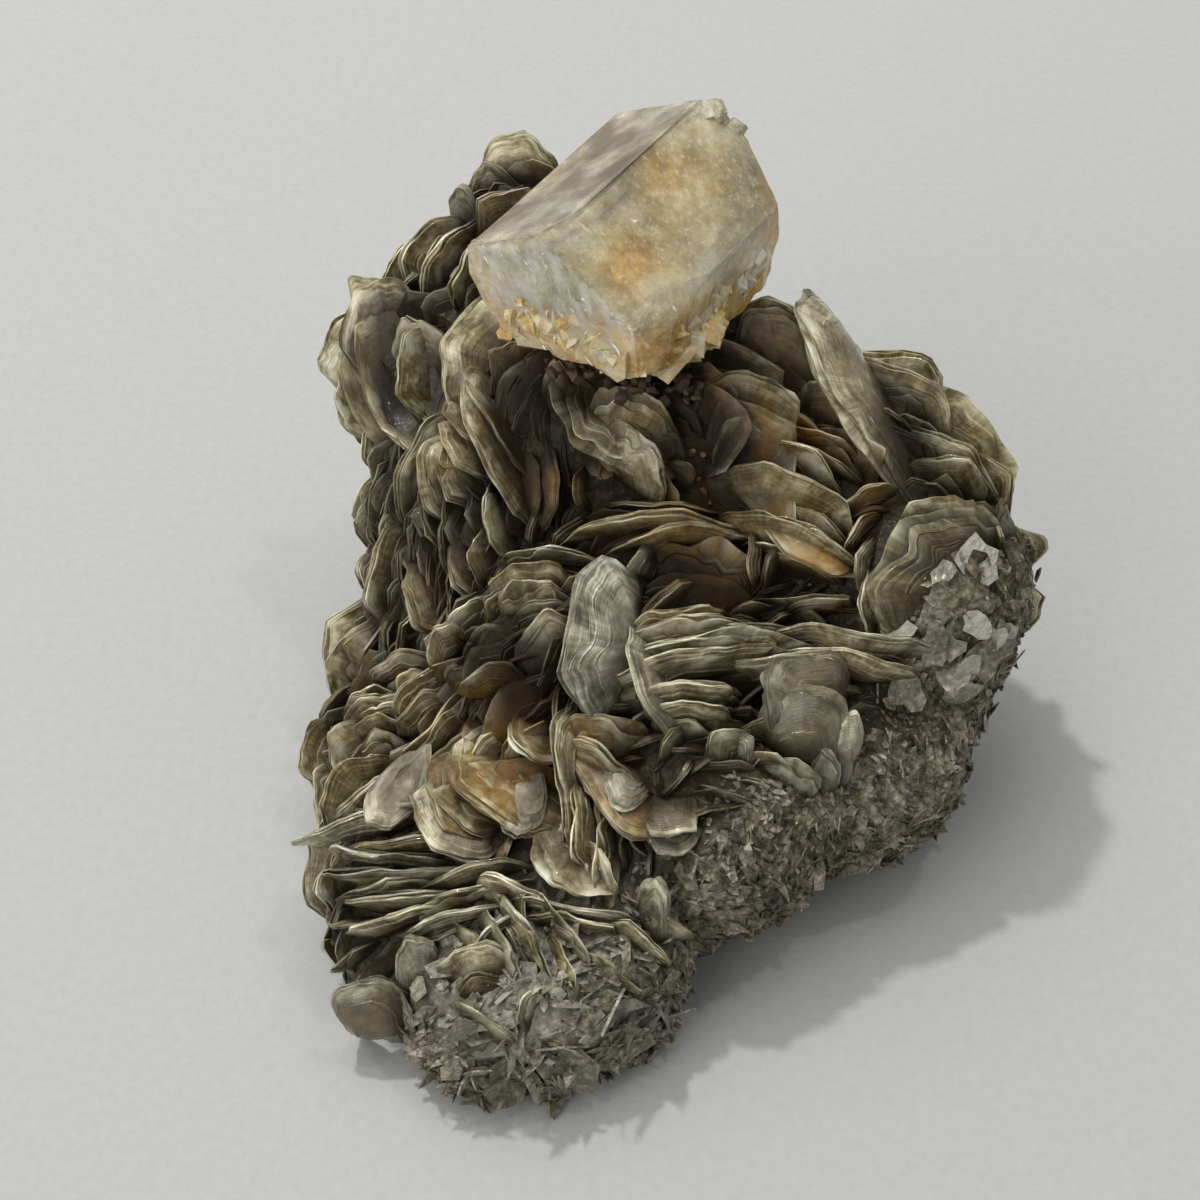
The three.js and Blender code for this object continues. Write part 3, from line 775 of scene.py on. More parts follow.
    soup.add(
        place(local), faces,
        rim=per_row([row[2] for row in rows]),
        deep=per_row([row[3] for row in rows]),
        ring=per_row(scales.mean(axis=1)),
        layer=np.append(np.array([row[1] for row in rows]).ravel(), [0, 0]),
        along=np.append(np.tile(angle * width / 2, len(rows)), [0, 0]),
        stain=stain, tone=tone, chance=rng.uniform(0, 1),
    )


def book_place(tip, grow, face):
    """What puts a book's points where it stands."""
    side = np.cross(face, grow)
    turn = np.array([grow, side, face])
    return lambda local: tip + local @ turn


def settled(tip):
    """A rim's middle moved to where it clears the rock but doesn't stand too far out."""
    for _ in range(3):
        height = rock_field(tip[None])[0] + hollow_depth(tip[None])[0]
        tip = tip + (np.clip(height, *BOOK_HEIGHTS) - height) * field_normal(tip[None])[0]
    return tip


def hero_frame(row):
    """Where a hand-placed book's rim is, the way it grows and the way its face looks."""
    across, up, out, aim, tilt, turn = row[:6]
    aim, tilt, turn = math.radians(aim), math.radians(tilt), math.radians(turn)
    level = np.array([math.cos(aim), math.sin(aim), 0.0])
    outward = np.array([0.0, 0.0, 1.0])
    grow = working_to_frame(math.cos(tilt) * level + math.sin(tilt) * outward)
    face = working_to_frame(-math.sin(tilt) * level + math.cos(tilt) * outward)
    side = np.cross(face, grow)
    face = math.cos(turn) * face + math.sin(turn) * side
    return settled(MIDDLE + working_to_frame([across, up, out])), grow, face


def book_droop(tip, face):
    """A book's sides bend in towards the rock, whichever of its faces looks outwards."""
    return 1 if (tip - ROCK_CENTRE).dot(face) > 0 else -1


def nudged(grow, face, amount, rng):
    """A book's directions, turned a little at random."""
    grow = unit(grow + amount * rng.normal(size=3))
    face = unit(face - face.dot(grow) * grow)
    spin = amount * rng.normal()
    return grow, math.cos(spin) * face + math.sin(spin) * np.cross(face, grow)


# Materials


class Shader:
    """One material, with a short call for each kind of node that the materials use."""

    def __init__(self, name):
        self.material = bpy.data.materials.new(name)
        self.material.use_nodes = True
        self.nodes = self.material.node_tree.nodes
        self.links = self.material.node_tree.links
        self.inputs = self.nodes["Principled BSDF"].inputs

    def put(self, socket, value):
        """A socket gets a number, a colour or a link."""
        if isinstance(value, (int, float)):
            socket.default_value = value
        elif isinstance(value, tuple):
            socket.default_value = (*value, 1.0)
        else:
            self.links.new(value, socket)

    def set(self, name, value):
        self.put(self.inputs[name], value)

    def attribute(self, name):
        node = self.nodes.new("ShaderNodeAttribute")
        node.attribute_name = name
        return node.outputs["Fac"]

    def place(self):
        return self.nodes.new("ShaderNodeTexCoord").outputs["Object"]

    def math(self, operation, *values, clamp=False):
        node = self.nodes.new("ShaderNodeMath")
        node.operation = operation
        node.use_clamp = clamp
        for socket, value in zip(node.inputs, values):
            self.put(socket, value)
        return node.outputs[0]

    def times(self, first, second, clamp=False):
        return self.math("MULTIPLY", first, second, clamp=clamp)

    def plus(self, first, second, clamp=False):
        return self.math("ADD", first, second, clamp=clamp)

    def minus(self, first, second, clamp=False):
        return self.math("SUBTRACT", first, second, clamp=clamp)

    def mix(self, factor, first, second):
        node = self.nodes.new("ShaderNodeMix")
        node.data_type = "RGBA"
        self.put(node.inputs["Factor"], factor)
        self.put(node.inputs[6], first)
        self.put(node.inputs[7], second)
        return node.outputs[2]

    def ramp(self, factor, stops):
        """Stops are a position with a colour, or with a number for a grey."""
        node = self.nodes.new("ShaderNodeValToRGB")
        elements = node.color_ramp.elements
        while len(elements) < len(stops):
            elements.new(0.5)
        for element, (position, colour) in zip(elements, stops):
            element.position = position
            element.color = (*colour, 1.0) if isinstance(colour, tuple) else (*[colour] * 3, 1.0)
        self.links.new(factor, node.inputs[0])
        return node.outputs[0]

    def noise(self, vector, scale, detail, rough):
        node = self.nodes.new("ShaderNodeTexNoise")
        node.inputs["Scale"].default_value = scale
        node.inputs["Detail"].default_value = detail
        node.inputs["Roughness"].default_value = rough
        self.links.new(vector, node.inputs["Vector"])
        return node.outputs["Fac"]

    def combine(self, *values):
        node = self.nodes.new("ShaderNodeCombineXYZ")
        for socket, value in zip(node.inputs, values):
            self.put(socket, value)
        return node.outputs[0]

    def bump(self, height, strength, distance):
        node = self.nodes.new("ShaderNodeBump")
        node.inputs["Strength"].default_value = strength
        node.inputs["Distance"].default_value = distance
        self.links.new(height, node.inputs["Height"])
        return node.outputs["Normal"]


def mica_material():
    """The books: pearly faces, pale streaked rims partly painted highlight, iron stain, and painted
    shade in the gaps and grooves between them.
    """
    shader = Shader("mica_books")
    times, plus, minus = shader.times, shader.plus, shader.minus
    rim, deep, layer, ring, along, stain, tone, chance = map(shader.attribute, Soup.VALUES)
    place = shader.place()

    # Faces: growth zones that follow the rim, soft patches, browner and darker towards the root,
    # partly the brown of thicker mica and partly painted shade where roots lie between books.
    zone_vector = shader.combine(times(ring, 34.0), times(along, 0.10), times(chance, 40.0))
    zones = shader.noise(zone_vector, 1.0, 3.0, 0.62)
    patches = shader.noise(place, 260.0, 3.0, 0.62)
    fibre_vector = shader.combine(times(ring, 2.2), times(along, 1.1), times(chance, 55.0))
    fibres = shader.noise(fibre_vector, 1.6, 4.0, 0.7)
    lined = minus(times(ring, 2.2), 0.9, True)
    lines = times(lined, plus(times(minus(zones, 0.5), 0.7), times(minus(fibres, 0.5), 0.55)))
    face_tone = plus(plus(times(patches, 0.6), 0.2), lines)
    face = shader.ramp(face_tone, [
        (0.34, (0.032, 0.020, 0.004)),
        (0.45, (0.105, 0.075, 0.022)),
        (0.55, (0.225, 0.175, 0.068)),
        (0.68, (0.470, 0.410, 0.220)),
    ])
    brown = shader.ramp(face_tone, [
        (0.34, (0.024, 0.011, 0.002)),
        (0.45, (0.085, 0.048, 0.011)),
        (0.55, (0.190, 0.124, 0.038)),
        (0.68, (0.380, 0.285, 0.115)),
    ])
    face = shader.mix(times(shader.math("POWER", chance, 1.5), 0.8), face, brown)
    plain = shader.math("ABSOLUTE", times(tone, 1.6))
    # Near black at the root: partly thick brown mica, partly painted shade.
    root_brown_and_shade = times(minus(0.72, ring, True), 2.4)
    root_brown_and_shade = times(root_brown_and_shade, minus(1.0, plain, True), True)
    face = shader.mix(times(root_brown_and_shade, 0.92), face, (0.014, 0.008, 0.003))

    # Rims: pale sheet edges with painted highlights streaked along the rim, and painted shade in the
    # dark lines between the sheets.
    streak_vector = shader.combine(times(layer, 3.2), times(along, 0.16), times(chance, 70.0))
    streaks = shader.noise(streak_vector, 1.4, 3.0, 0.65)
    edge = shader.ramp(streaks, [
        (0.36, (0.045, 0.033, 0.011)),
        (0.46, (0.215, 0.182, 0.085)),
        (0.54, (0.580, 0.540, 0.340)),
        (0.64, (0.980, 0.950, 0.740)),
    ])
    # Patches where the rims show pale: partly the pale sheet edges, partly painted highlight.
    pale_and_sheen_patches = shader.noise(place, 210.0, 1.0, 0.55)
    pale_and_sheen_patches = shader.math("MULTIPLY_ADD", pale_and_sheen_patches, 3.2, -0.8, clamp=True)
    colour = shader.mix(times(rim, pale_and_sheen_patches), face, edge)
    # Painted shade in the grooves between the sheets.
    colour = shader.mix(times(deep, 0.9), colour, (0.012, 0.008, 0.004))

    # Tone: some books are dark and glassy, others silvery, partly paler grey mica and partly painted
    # sheen.
    dark = times(tone, -1.0, True)
    silver = times(tone, 1.0, True)
    colour = shader.mix(times(dark, 0.75), colour, (0.026, 0.026, 0.021))
    silvery = shader.ramp(plus(times(face_tone, 0.65), times(streaks, 0.35)), [
        (0.40, (0.070, 0.068, 0.050)),
        (0.52, (0.260, 0.255, 0.200)),
        (0.62, (0.560, 0.560, 0.480)),
    ])
    shine = times(silver, minus(0.9, deep, True))
    colour = shader.mix(shine, colour, silvery)

    # Iron stain: brown to orange, patchy, weaker on the rims.
    rust_patches = shader.noise(place, 150.0, 4.0, 0.65)
    rust = shader.ramp(rust_patches, [
        (0.34, (0.014, 0.006, 0.001)),
        (0.46, (0.070, 0.030, 0.004)),
        (0.57, (0.200, 0.094, 0.010)),
        (0.70, (0.380, 0.210, 0.030)),
    ])
    spread = times(stain, minus(1.1, times(rim, 0.5)))
    spread = plus(spread, times(minus(rust_patches, 0.5), 1.1))
    spread = times(spread, times(stain, 2.5, True), True)
    colour = shader.mix(spread, colour, rust)

    # Painted shade in the gaps: darker the deeper a point lies between the books.
    gap_shade = times(minus(2.1, shader.attribute("height")), 0.4, True)
    colour = shader.mix(times(gap_shade, 0.92), colour, (0.009, 0.004, 0.001))
    open_part = minus(1.0, times(gap_shade, 0.9), True)
    polish = times(open_part, minus(1.0, times(stain, 0.55), True))
    shader.set("Base Color", colour)

    rough = plus(0.2, times(patches, 0.24))
    shader.set("Roughness", plus(rough, times(plus(stain, gap_shade), 0.2)))
    shader.set("IOR", 1.6)
    shader.set("Specular IOR Level", 0.15)
    shader.set("Coat Weight", polish)
    shader.set("Coat Roughness", 0.07)
    shader.set("Coat IOR", 1.5)

    fine_vector = shader.combine(times(layer, 16.0), times(along, 0.5), times(chance, 90.0))
    fine = shader.noise(fine_vector, 1.5, 2.0, 0.6)
    scratches = shader.noise(zone_vector, 3.5, 3.0, 0.7)
    grain = shader.noise(place, 900.0, 2.0, 0.6)
    height = plus(times(fine, rim), plus(times(scratches, 0.8), times(grain, 0.45)))
    shader.set("Normal", shader.bump(height, 0.75, 0.00025))
    waves = shader.noise(place, 420.0, 1.0, 0.5)
    gloss = plus(times(fine, times(rim, 0.5)), plus(times(scratches, 0.5), times(waves, 0.7)))
    shader.set("Coat Normal", shader.bump(gloss, 0.5, 0.00022))
    return shader.material


def rock_material(name, specular):
    """Fine-grained mica rock. Each small cell of it is polished differently."""
    shader = Shader(name)
    place = shader.place()
    coarse = shader.noise(place, 260.0, 3.0, 0.65)
    grain = shader.noise(place, 1300.0, 2.0, 0.7)
    mixed = shader.plus(shader.times(coarse, 0.5), shader.times(grain, 0.5))
    colour = shader.ramp(mixed, [
        (0.36, (0.022, 0.018, 0.011)),
        (0.46, (0.070, 0.059, 0.038)),
        (0.55, (0.150, 0.130, 0.090)),
        (0.68, (0.340, 0.315, 0.240)),
    ])
    # On the rock the stain value is painted shade where books cover it.
    colour = shader.mix(shader.attribute("stain"), colour, (0.014, 0.009, 0.004))
    colour = shader.mix(shader.attribute("tone"), colour, (0.42, 0.41, 0.35))
    shader.set("Base Color", colour)
    cells = shader.nodes.new("ShaderNodeTexVoronoi")
    cells.inputs["Scale"].default_value = 1300.0
    shader.put(cells.inputs["Vector"], place)
    sparkle = shader.ramp(cells.outputs["Color"], [(0.3, 0.62), (0.7, 0.25)])
    shader.set("Roughness", sparkle)
    shader.set("Specular IOR Level", specular)
    height = shader.plus(shader.times(cells.outputs["Distance"], 0.8), grain)
    shader.set("Normal", shader.bump(height, 0.7, 0.0003))
    return shader.material


def plain_material(name, colour, roughness, metallic=0.0):
    """One colour and finish, for the grit, the splinters and the edge line."""
    shader = Shader(name)
    shader.set("Base Color", colour)
    shader.set("Roughness", roughness)
    shader.set("IOR", 1.5)
    shader.set("Metallic", metallic)
    return shader.material


def beryl_tints(shader):
    """Mottled grey, beige or gold, by the tone and stain of each point. Gives the colour, the
    finer of its two noises and the place that they are taken at."""
    place = shader.place()
    clouds = shader.noise(place, 170.0, 4.0, 0.65)
    mottle = shader.noise(place, 800.0, 4.0, 0.7)
    mixed = shader.plus(shader.times(clouds, 0.6), shader.times(mottle, 0.4))
    grey = shader.ramp(mixed, [
        (0.34, (0.33, 0.30, 0.19)),
        (0.50, (0.66, 0.615, 0.44)),
        (0.64, (0.99, 0.97, 0.86)),
    ])
    warm = shader.ramp(mixed, [
        (0.34, (0.33, 0.22, 0.08)),
        (0.50, (0.62, 0.50, 0.28)),
        (0.64, (0.95, 0.87, 0.64)),
    ])
    gold = shader.ramp(mixed, [
        (0.35, (0.60, 0.30, 0.04)),
        (0.50, (0.93, 0.64, 0.18)),
        (0.65, (1.00, 0.92, 0.66)),
    ])
    colour = shader.mix(shader.attribute("tone"), grey, warm)
    colour = shader.mix(shader.attribute("stain"), colour, gold)
    colour = shader.mix(shader.attribute("layer"), colour, (0.97, 0.96, 0.92))
    # White specks: partly fine cracks, partly painted sparkle.
    specks = shader.noise(place, 1500.0, 4.0, 0.65)
    specks = shader.ramp(specks, [(0.57, 0.0), (0.66, 0.75)])
    colour = shader.mix(specks, colour, (0.99, 0.98, 0.93))
    # Darker grey-brown on the upper left face: partly its own tone, partly painted shade.
    left_face_tone_and_shade = shader.times(shader.attribute("deep"), 0.85)
    return shader.mix(left_face_tone_and_shade, colour, (0.17, 0.115, 0.055)), mottle, place


def beryl_material():
    """The crystal's surface, which lets through more of the light in some places."""
    shader = Shader("beryl")
    colour, _, place = beryl_tints(shader)
    shader.set("Base Color", colour)
    clear = shader.attribute("rim")
    shader.set("Transmission Weight", shader.plus(0.72, shader.times(clear, 0.22), True))
    shader.set("Roughness", 0.06)
    shader.set("IOR", 1.57)
    etch = shader.noise(place, 500.0, 6.0, 0.65)
    shader.set("Normal", shader.bump(etch, 0.25, 0.0002))
    return shader.material


def cloud_material():
    """The cloudy, iron-tinted inside of the crystal."""
    shader = Shader("beryl_inside")
    colour, mottle, _ = beryl_tints(shader)
    shader.set("Base Color", colour)
    shader.set("Roughness", 0.4)
    shader.set("Normal", shader.bump(mottle, 0.6, 0.0004))
    return shader.material


# Books


def add_placed_book(soup, tip, grow, face, size, stain, tone, rng, segments, steps):
    """A book that is shortened and narrowed where it would reach below the flat base."""
    length, width, thickness = size
    slope = max(abs(np.cross(face, grow)[2]), 0.2)
    width = min(width, 2 * max(tip[2] - 0.6, 0.8) / slope)
    length = min(length, max(tip[2] - 0.5, 1.5) / (1.2 * max(grow[2], 0.1)))
    if length < LEAST_LENGTH or width < LEAST_WIDTH:
        return
    add_book(soup, book_place(tip, grow, face), length, width, thickness, stain, tone, rng,
             book_droop(tip, face), segments, steps)


def build_heroes(mica):
    """The listed books. The wide ones have one more on either side, set back from the rim, that fill
    the gaps round them."""
    rng = np.random.default_rng(SEED)
    soups = []
    for region, rows in BOOKS.items():
        soup = Soup()
        for row in rows:
            tip, grow, face = hero_frame(row)
            length, width, thickness, stain, tone = row[6:]
            size = (1.2 * length, 1.12 * width, 1.05 * thickness)
            segments = 40 if width >= 9 else 30
            add_placed_book(soup, tip, grow, face, size, stain, tone, rng, segments, 5)
            for side in (1, -1) if width >= 8 else ():
                offset = side * (thickness / 2 + rng.uniform(0.2, 0.9)) * face
                shift = rng.uniform(-0.15, 0.15) * width * np.cross(face, grow)
                partner = tip + offset + shift - rng.uniform(1.6, 3.6) * grow
                if near_crystal(partner[None], 0.5)[0] or rock_field(partner[None])[0] > 2.0:
                    continue
                turned, faced = nudged(grow, face, 0.12, rng)
                size = (length * 1.1, width * rng.uniform(0.8, 1.05), rng.uniform(1.0, 1.8))
                rustier = min(1.0, stain + rng.uniform(0, 0.3))
                darker = min(0.2, tone) - rng.uniform(0, 0.2)
                add_placed_book(soup, partner, turned, faced, size, rustier, darker, rng, 18, 2)
        make_object("muscovite_books_" + region, soup, mica, *MICA)
        soups.append(soup)
    return soups


def sphere_directions(count):
    """Even directions all round, by the golden angle."""
    index = np.arange(count) + 0.5
    height = 1 - 2 * index / count
    turn = math.pi * (3 - math.sqrt(5)) * index
    level = np.sqrt(1 - height ** 2)
    return np.stack([level * np.cos(turn), level * np.sin(turn), height], axis=1)


def filler_place(point, normal, lean, placed, rng):
    """Where a book between others grows from: like its nearest listed neighbours, or leaning back
    along a slow swirl where there are none. Gives grow, face and alone."""
    tips, grows, faces = placed
    distance = np.linalg.norm(tips - point, axis=1)
    alone = distance.min() > 8
    weight = np.exp(-(distance / 5.0) ** 2)
    swirl = np.array([lattice_noise((point / 12.0)[None] + 7 * k, 30 + k)[0] for k in range(3)])
    tangent = swirl + np.array([-0.3, 0.0, 0.45])
    tangent = unit(tangent - tangent.dot(normal) * normal)
    grow = unit(lean * normal + (1.15 - lean) * tangent)
    face = unit(normal - normal.dot(grow) * grow)
    if not alone:
        grow = unit(0.3 * grow + weight @ grows / weight.sum())
        face = weight @ faces / weight.sum()
        face = unit(face - face.dot(grow) * grow)
    grow, face = nudged(grow, face, 0.26, rng)
    return grow, face, alone


def filler_look(hollow_here, rng):
    """The stain and tone of a book that isn't listed."""
    stain = min(1.0, 1.2 * hollow_here + rng.uniform(0.0, 0.3))
    return stain, rng.uniform(-0.2, 0.15) - 0.3 * hollow_here


def sector_soup(groups, point):
    """The soup for one of eight sectors round the rock."""
    sector = int((math.atan2(point[1], point[0] - 4) + math.pi) / (2 * math.pi) * 7.999)
    return groups.setdefault(sector, Soup())


def build_fillers(mica, heroes):
    """Books between the listed ones, and over the left, the back and the top."""
    rng = np.random.default_rng(SEED + 1)
    frames = [hero_frame(row) for rows in BOOKS.values() for row in rows]
    placed = [np.array(parts) for parts in zip(*frames)]
    points = rock_points(sphere_directions(FILLER_TRIES))
    normals = field_normal(points)
    rocky = rockiness(points, normals)
    hollow = spot_weight(points, STAIN_SPOTS)
    groups = {}
    for point, normal, rock_here, hollow_here in zip(points, normals, rocky, hollow):
        if rock_here > 0 or normal[2] < -0.4 or point[2] < 4:
            continue
        if np.linalg.norm(placed[0] - point, axis=1).min() < 3.2:
            continue
        grow, face, alone = filler_place(point, normal, rng.uniform(0.25, 1.0), placed, rng)
        proud = rng.uniform(1.0, 3.2) if alone else rng.uniform(-2.0, -0.2)
        tip = point + normal * proud + grow * 0.8
        if near_crystal(np.array([tip, point]), 0.6).any():
            continue
        size = (rng.uniform(8, 13), rng.uniform(6, 15), rng.uniform(1.2, 2.8))
        if not alone:
            size = (rng.uniform(8, 12), rng.uniform(5, 13), rng.uniform(0.8, 2.0))
        stain, tone = filler_look(hollow_here, rng)
        add_placed_book(sector_soup(groups, point), tip, grow, face, size, stain, tone, rng,
                        30 if alone else 24, 3 if alone else 2)
    for _ in range(COVER_ROUNDS):
        cover_gaps(heroes + list(groups.values()), groups, placed, rng)
    for sector, soup in sorted(groups.items()):
        make_object("muscovite_fill_%d" % sector, soup, mica, *MICA)


def cover_gaps(soups, groups, placed, rng):
    """Low books over the places where the rock still shows between the others."""
    points = [point for soup in soups for part in soup.points for point in part.tolist()]
    faces = []
    start = 0
    for soup in soups:
        faces += [tuple(i + start for i in face) for face in soup.faces]
        start += soup.count
    cover = bvhtree.BVHTree.FromPolygons(points, faces)
    points = rock_points(sphere_directions(COVER_TRIES))
    normals = field_normal(points)
    rocky = rockiness(points, normals)
    hollow = spot_weight(points, STAIN_SPOTS)
    added = np.zeros((0, 3))
    for point, normal, rock_here, hollow_here in zip(points, normals, rocky, hollow):
        if rock_here > -0.1 or normal[2] < -0.4 or point[2] < 3:
            continue
        if len(added) and np.linalg.norm(added - point, axis=1).min() < 2.6:
            continue
        views = [normal] + [way for way in (AXES[2], unit(AXES[2] + normal)) if way @ normal > 0.3]
        hits = [cover.ray_cast(Vector(point + way * 15), Vector(-way), 16.2)[0] for way in views]
        if all(hit is not None for hit in hits):
            continue
        grow, face, _ = filler_place(point, normal, rng.uniform(0.4, 0.8), placed, rng)
        tip = point + grow * rng.uniform(0.8, 2.4) - normal * rng.uniform(0.6, 1.8)
        if near_crystal(np.array([tip, point]), 0.6).any():
            continue
        added = np.concatenate([added, point[None]])
        size = (rng.uniform(9, 12), rng.uniform(7, 11), rng.uniform(1.0, 2.0))
        stain, tone = filler_look(hollow_here, rng)
        soup = sector_soup(groups, point)
        # Painted shade: the low books take a darker tone, so they seem to lie back between the
        # others.
        add_placed_book(soup, tip, grow, face, size, stain, tone - 0.15, rng, 16, 1)


# Rock


def rock_surface(directions):
    """Points of the rock, roughened and sunk back where books grow from it, with their
    normals and how rocky each is."""
    points = rock_points(directions)
    normals = field_normal(points)
    rocky = rockiness(points, normals)
    covered = np.clip(-rocky / 0.3, 0, 1)
    rng = np.random.default_rng(SEED + 2)
    seeds = rock_points(sphere_directions(GRAIN_TRIES))
    tilts = rng.normal(size=seeds.shape) * 0.35
    levels = rng.uniform(-0.45, 0.45, len(seeds))
    grains = kdtree.KDTree(len(seeds))
    for index, seed in enumerate(seeds):
        grains.insert(seed, index)
    grains.balance()
    nearest = np.array([grains.find(point)[1] for point in points])
    facet = levels[nearest] + ((points - seeds[nearest]) * tilts[nearest]).sum(axis=1)
    rough = 0.8 * layered_noise(points, 6.0, 11, 3) + 0.3 * layered_noise(points, 1.3, 21, 3)
    rough = (rough + np.clip(facet, -0.8, 0.8)) * (1 - 0.7 * covered) - 2.2 * covered
    points = points + directions * rough[:, None]
    points[:, 2] = np.maximum(points[:, 2], 0.0)
    return points, normals, rocky


def build_rock(material):
    """The rock as one closed ball of points, closer together on its bare side."""
    ball = bmesh.new()
    bmesh.ops.create_icosphere(ball, subdivisions=6, radius=1.0)
    directions, faces = closed_parts(ball)
    directions = unit(unit(directions) + 0.5 * ROCK_SIDE)
    points, _, rocky = rock_surface(directions)
    soup = Soup()
    silvery = 0.25 * spot_weight(points, SPLINTERY_SPOTS)
    # Painted shade under the books: the rock is darkened where books cover it, carried in the stain
    # value.
    soup.add(points, faces, stain=np.clip(0.9 - rocky * 4, 0, 0.9), tone=silvery)
    make_object("mica_rock", soup, material, *MICA, sharp=25)


def add_flake(soup, middle, normal, along, radius, stretch, thickness, tone, rng, sides):
    """A small flat mica plate with a jagged outline, longest along a direction."""
    other = unit(np.cross(normal, along))
    helper = np.cross(other, normal)
    angle = np.linspace(0, 2 * math.pi, sides, endpoint=False) + rng.uniform(0, 1)
    reach = radius * rng.uniform(0.6, 1.2, sides)
    ring = np.outer(np.cos(angle) * reach, helper)
    ring = ring + np.outer(np.sin(angle) * reach * stretch, other)
    half = normal * thickness / 2
    points = np.concatenate([middle + ring + half, middle + ring * 0.93 - half])
    faces = [tuple(range(sides)), tuple(range(2 * sides - 1, sides - 1, -1))]
    for i in range(sides):
        j = (i + 1) % sides
        faces.append((i, i + sides, j + sides, j))
    soup.add(points, faces, tone=tone)


def build_flakes(material):
    """Small plates and splinters lying in the fine-grained rock, along a slow swirl."""
    rng = np.random.default_rng(SEED + 3)
    directions = unit(sphere_directions(FLAKE_TRIES) + 0.5 * ROCK_SIDE)
    points, normals, rocky = rock_surface(directions)
    swirl = np.stack([lattice_noise(points / 7.0 + 5 * k, 70 + k) for k in range(3)], axis=1)
    splintery = spot_weight(points, SPLINTERY_SPOTS)
    soup = Soup()
    for point, normal, rock_here, flow, long_here in zip(points, normals, rocky, swirl, splintery):
        if rock_here < rng.uniform(-0.2, 0.02) or point[2] < 0.8 or rng.uniform() > 0.75:
            continue
        for _ in range(3 if long_here > 0.3 else 1):
            plate = rng.uniform() < 0.25
            facing = unit(normal + rng.normal(size=3) * (0.35 if plate else 0.6))
            along = unit(flow + 0.2 * rng.normal(size=3) + 0.3 * facing[[1, 2, 0]])
            radius = 0.35 + 1.2 * rng.uniform() ** 4 if plate else 0.4 + 1.3 * rng.uniform() ** 2
            radius *= 1 + 1.6 * long_here
            stretch = rng.uniform(0.6, 1.0) if plate else rng.uniform(0.25, 0.5) / (1 + long_here)
            tone = max(0, rng.normal() * 0.1) + rng.uniform(0, 0.2) * long_here
            middle = point + normal * (rng.uniform(-0.2, 0.1) + rng.uniform(-0.3, 0.6) * long_here)
            thickness = rng.uniform(0.1, 0.3)
            add_flake(soup, middle, facing, along, radius, stretch, thickness, tone, rng, 5)
    films = spot_weight(points, FILM_SPOTS)
    for point, normal, film_here in zip(points, normals, films):
        if rng.uniform() > 0.3 * (film_here - 0.3):
            continue
        facing = unit(normal + rng.normal(size=3) * 0.25)
        along = unit(rng.normal(size=3))
        shine = rng.uniform(0.05, 0.6)
        radius = rng.uniform(1.0, 2.8)
        middle = point + normal * rng.uniform(0.2, 0.9)
        stretch = rng.uniform(0.6, 1.0)
        add_flake(soup, middle, facing, along, radius, stretch, 0.15, shine, rng, 11)
    make_object("mica_flakes", soup, material, *MICA, sharp=25)


def add_crumb(soup, middle, radius, rng):
    """A lumpy grain with twenty sides."""
    golden = (1 + math.sqrt(5)) / 2
    corners = []
    for first in (-1, 1):
        for second in (-golden, golden):
            corners += [(0, first, second), (first, second, 0), (second, 0, first)]
    shape, faces = hull(unit(np.array(corners, float)))
    shape = shape * rng.uniform(0.6, 1.25, (len(shape), 1)) * rng.uniform(0.6, 1.2, 3)
    soup.add(middle + radius * shape, faces)


def build_crumbs():
    """Iron-stained grit in the hollow and dark grit at the foot of the crystal."""
    rng = np.random.default_rng(SEED + 4)
    grit = plain_material("iron_grit", (0.10, 0.045, 0.012), 0.7)
    dark = plain_material("dark_grit", (0.036, 0.018, 0.006), 0.6)
    soup = Soup()
    directions = unit(sphere_directions(GRIT_TRIES))
    for point, direction in zip(rock_points(directions), directions):
        away = np.linalg.norm(point - HOLLOW)
        if rng.uniform() < math.exp(-(away / 9.0) ** 2):
            sunk = point - direction * rng.uniform(0.9, 2.0)
            add_crumb(soup, sunk, rng.uniform(0.2, 0.5), rng)
    make_object("iron_grit", soup, grit, *MICA)
    soup = Soup()
    for across, up, out, count in CRYSTAL_GRIT:
        for _ in range(count):
            spot = MIDDLE + working_to_frame([across, up, out])
            spot = spot + rng.normal(size=3) * (1.6, 1.0, 0.7)
            add_crumb(soup, spot, rng.uniform(0.3, 0.8), rng)
    make_object("dark_grit", soup, dark, *MICA)


# Beryl


def crystal_axes():
    """The crystal's own across, up and along."""
    axis = unit(CRYSTAL_AXIS)
    across = unit(CRYSTAL_ACROSS - CRYSTAL_ACROSS.dot(axis) * axis)
    return np.array([across, np.cross(axis, across), axis])


def crystal_coordinates(points):
    """Points as distances across, up and along the crystal from its left front corner."""
    return (points - CRYSTAL_CORNER) @ crystal_axes().T


def near_crystal(points, room):
    """Which points are inside the prism or closer to it than room."""
    local = crystal_coordinates(points)
    inside = (local[:, 2] < room) & (local[:, 2] > -CRYSTAL_LENGTH - room)
    corner = np.zeros(2)
    for index, side in enumerate(CRYSTAL_SIDES):
        angle = math.radians(CRYSTAL_FIRST - 60 * index)
        outward = np.array([-math.sin(angle), math.cos(angle)])
        inside &= (local[:, :2] - corner) @ outward < room
        corner = corner + side * np.array([math.cos(angle), math.sin(angle)])
    return inside


def dissolve_flat(mesh, degrees):
    """Runs faces together that lie in one plane, within an angle."""
    angle = math.radians(degrees)
    bmesh.ops.dissolve_limit(mesh, angle_limit=angle, verts=mesh.verts, edges=mesh.edges)


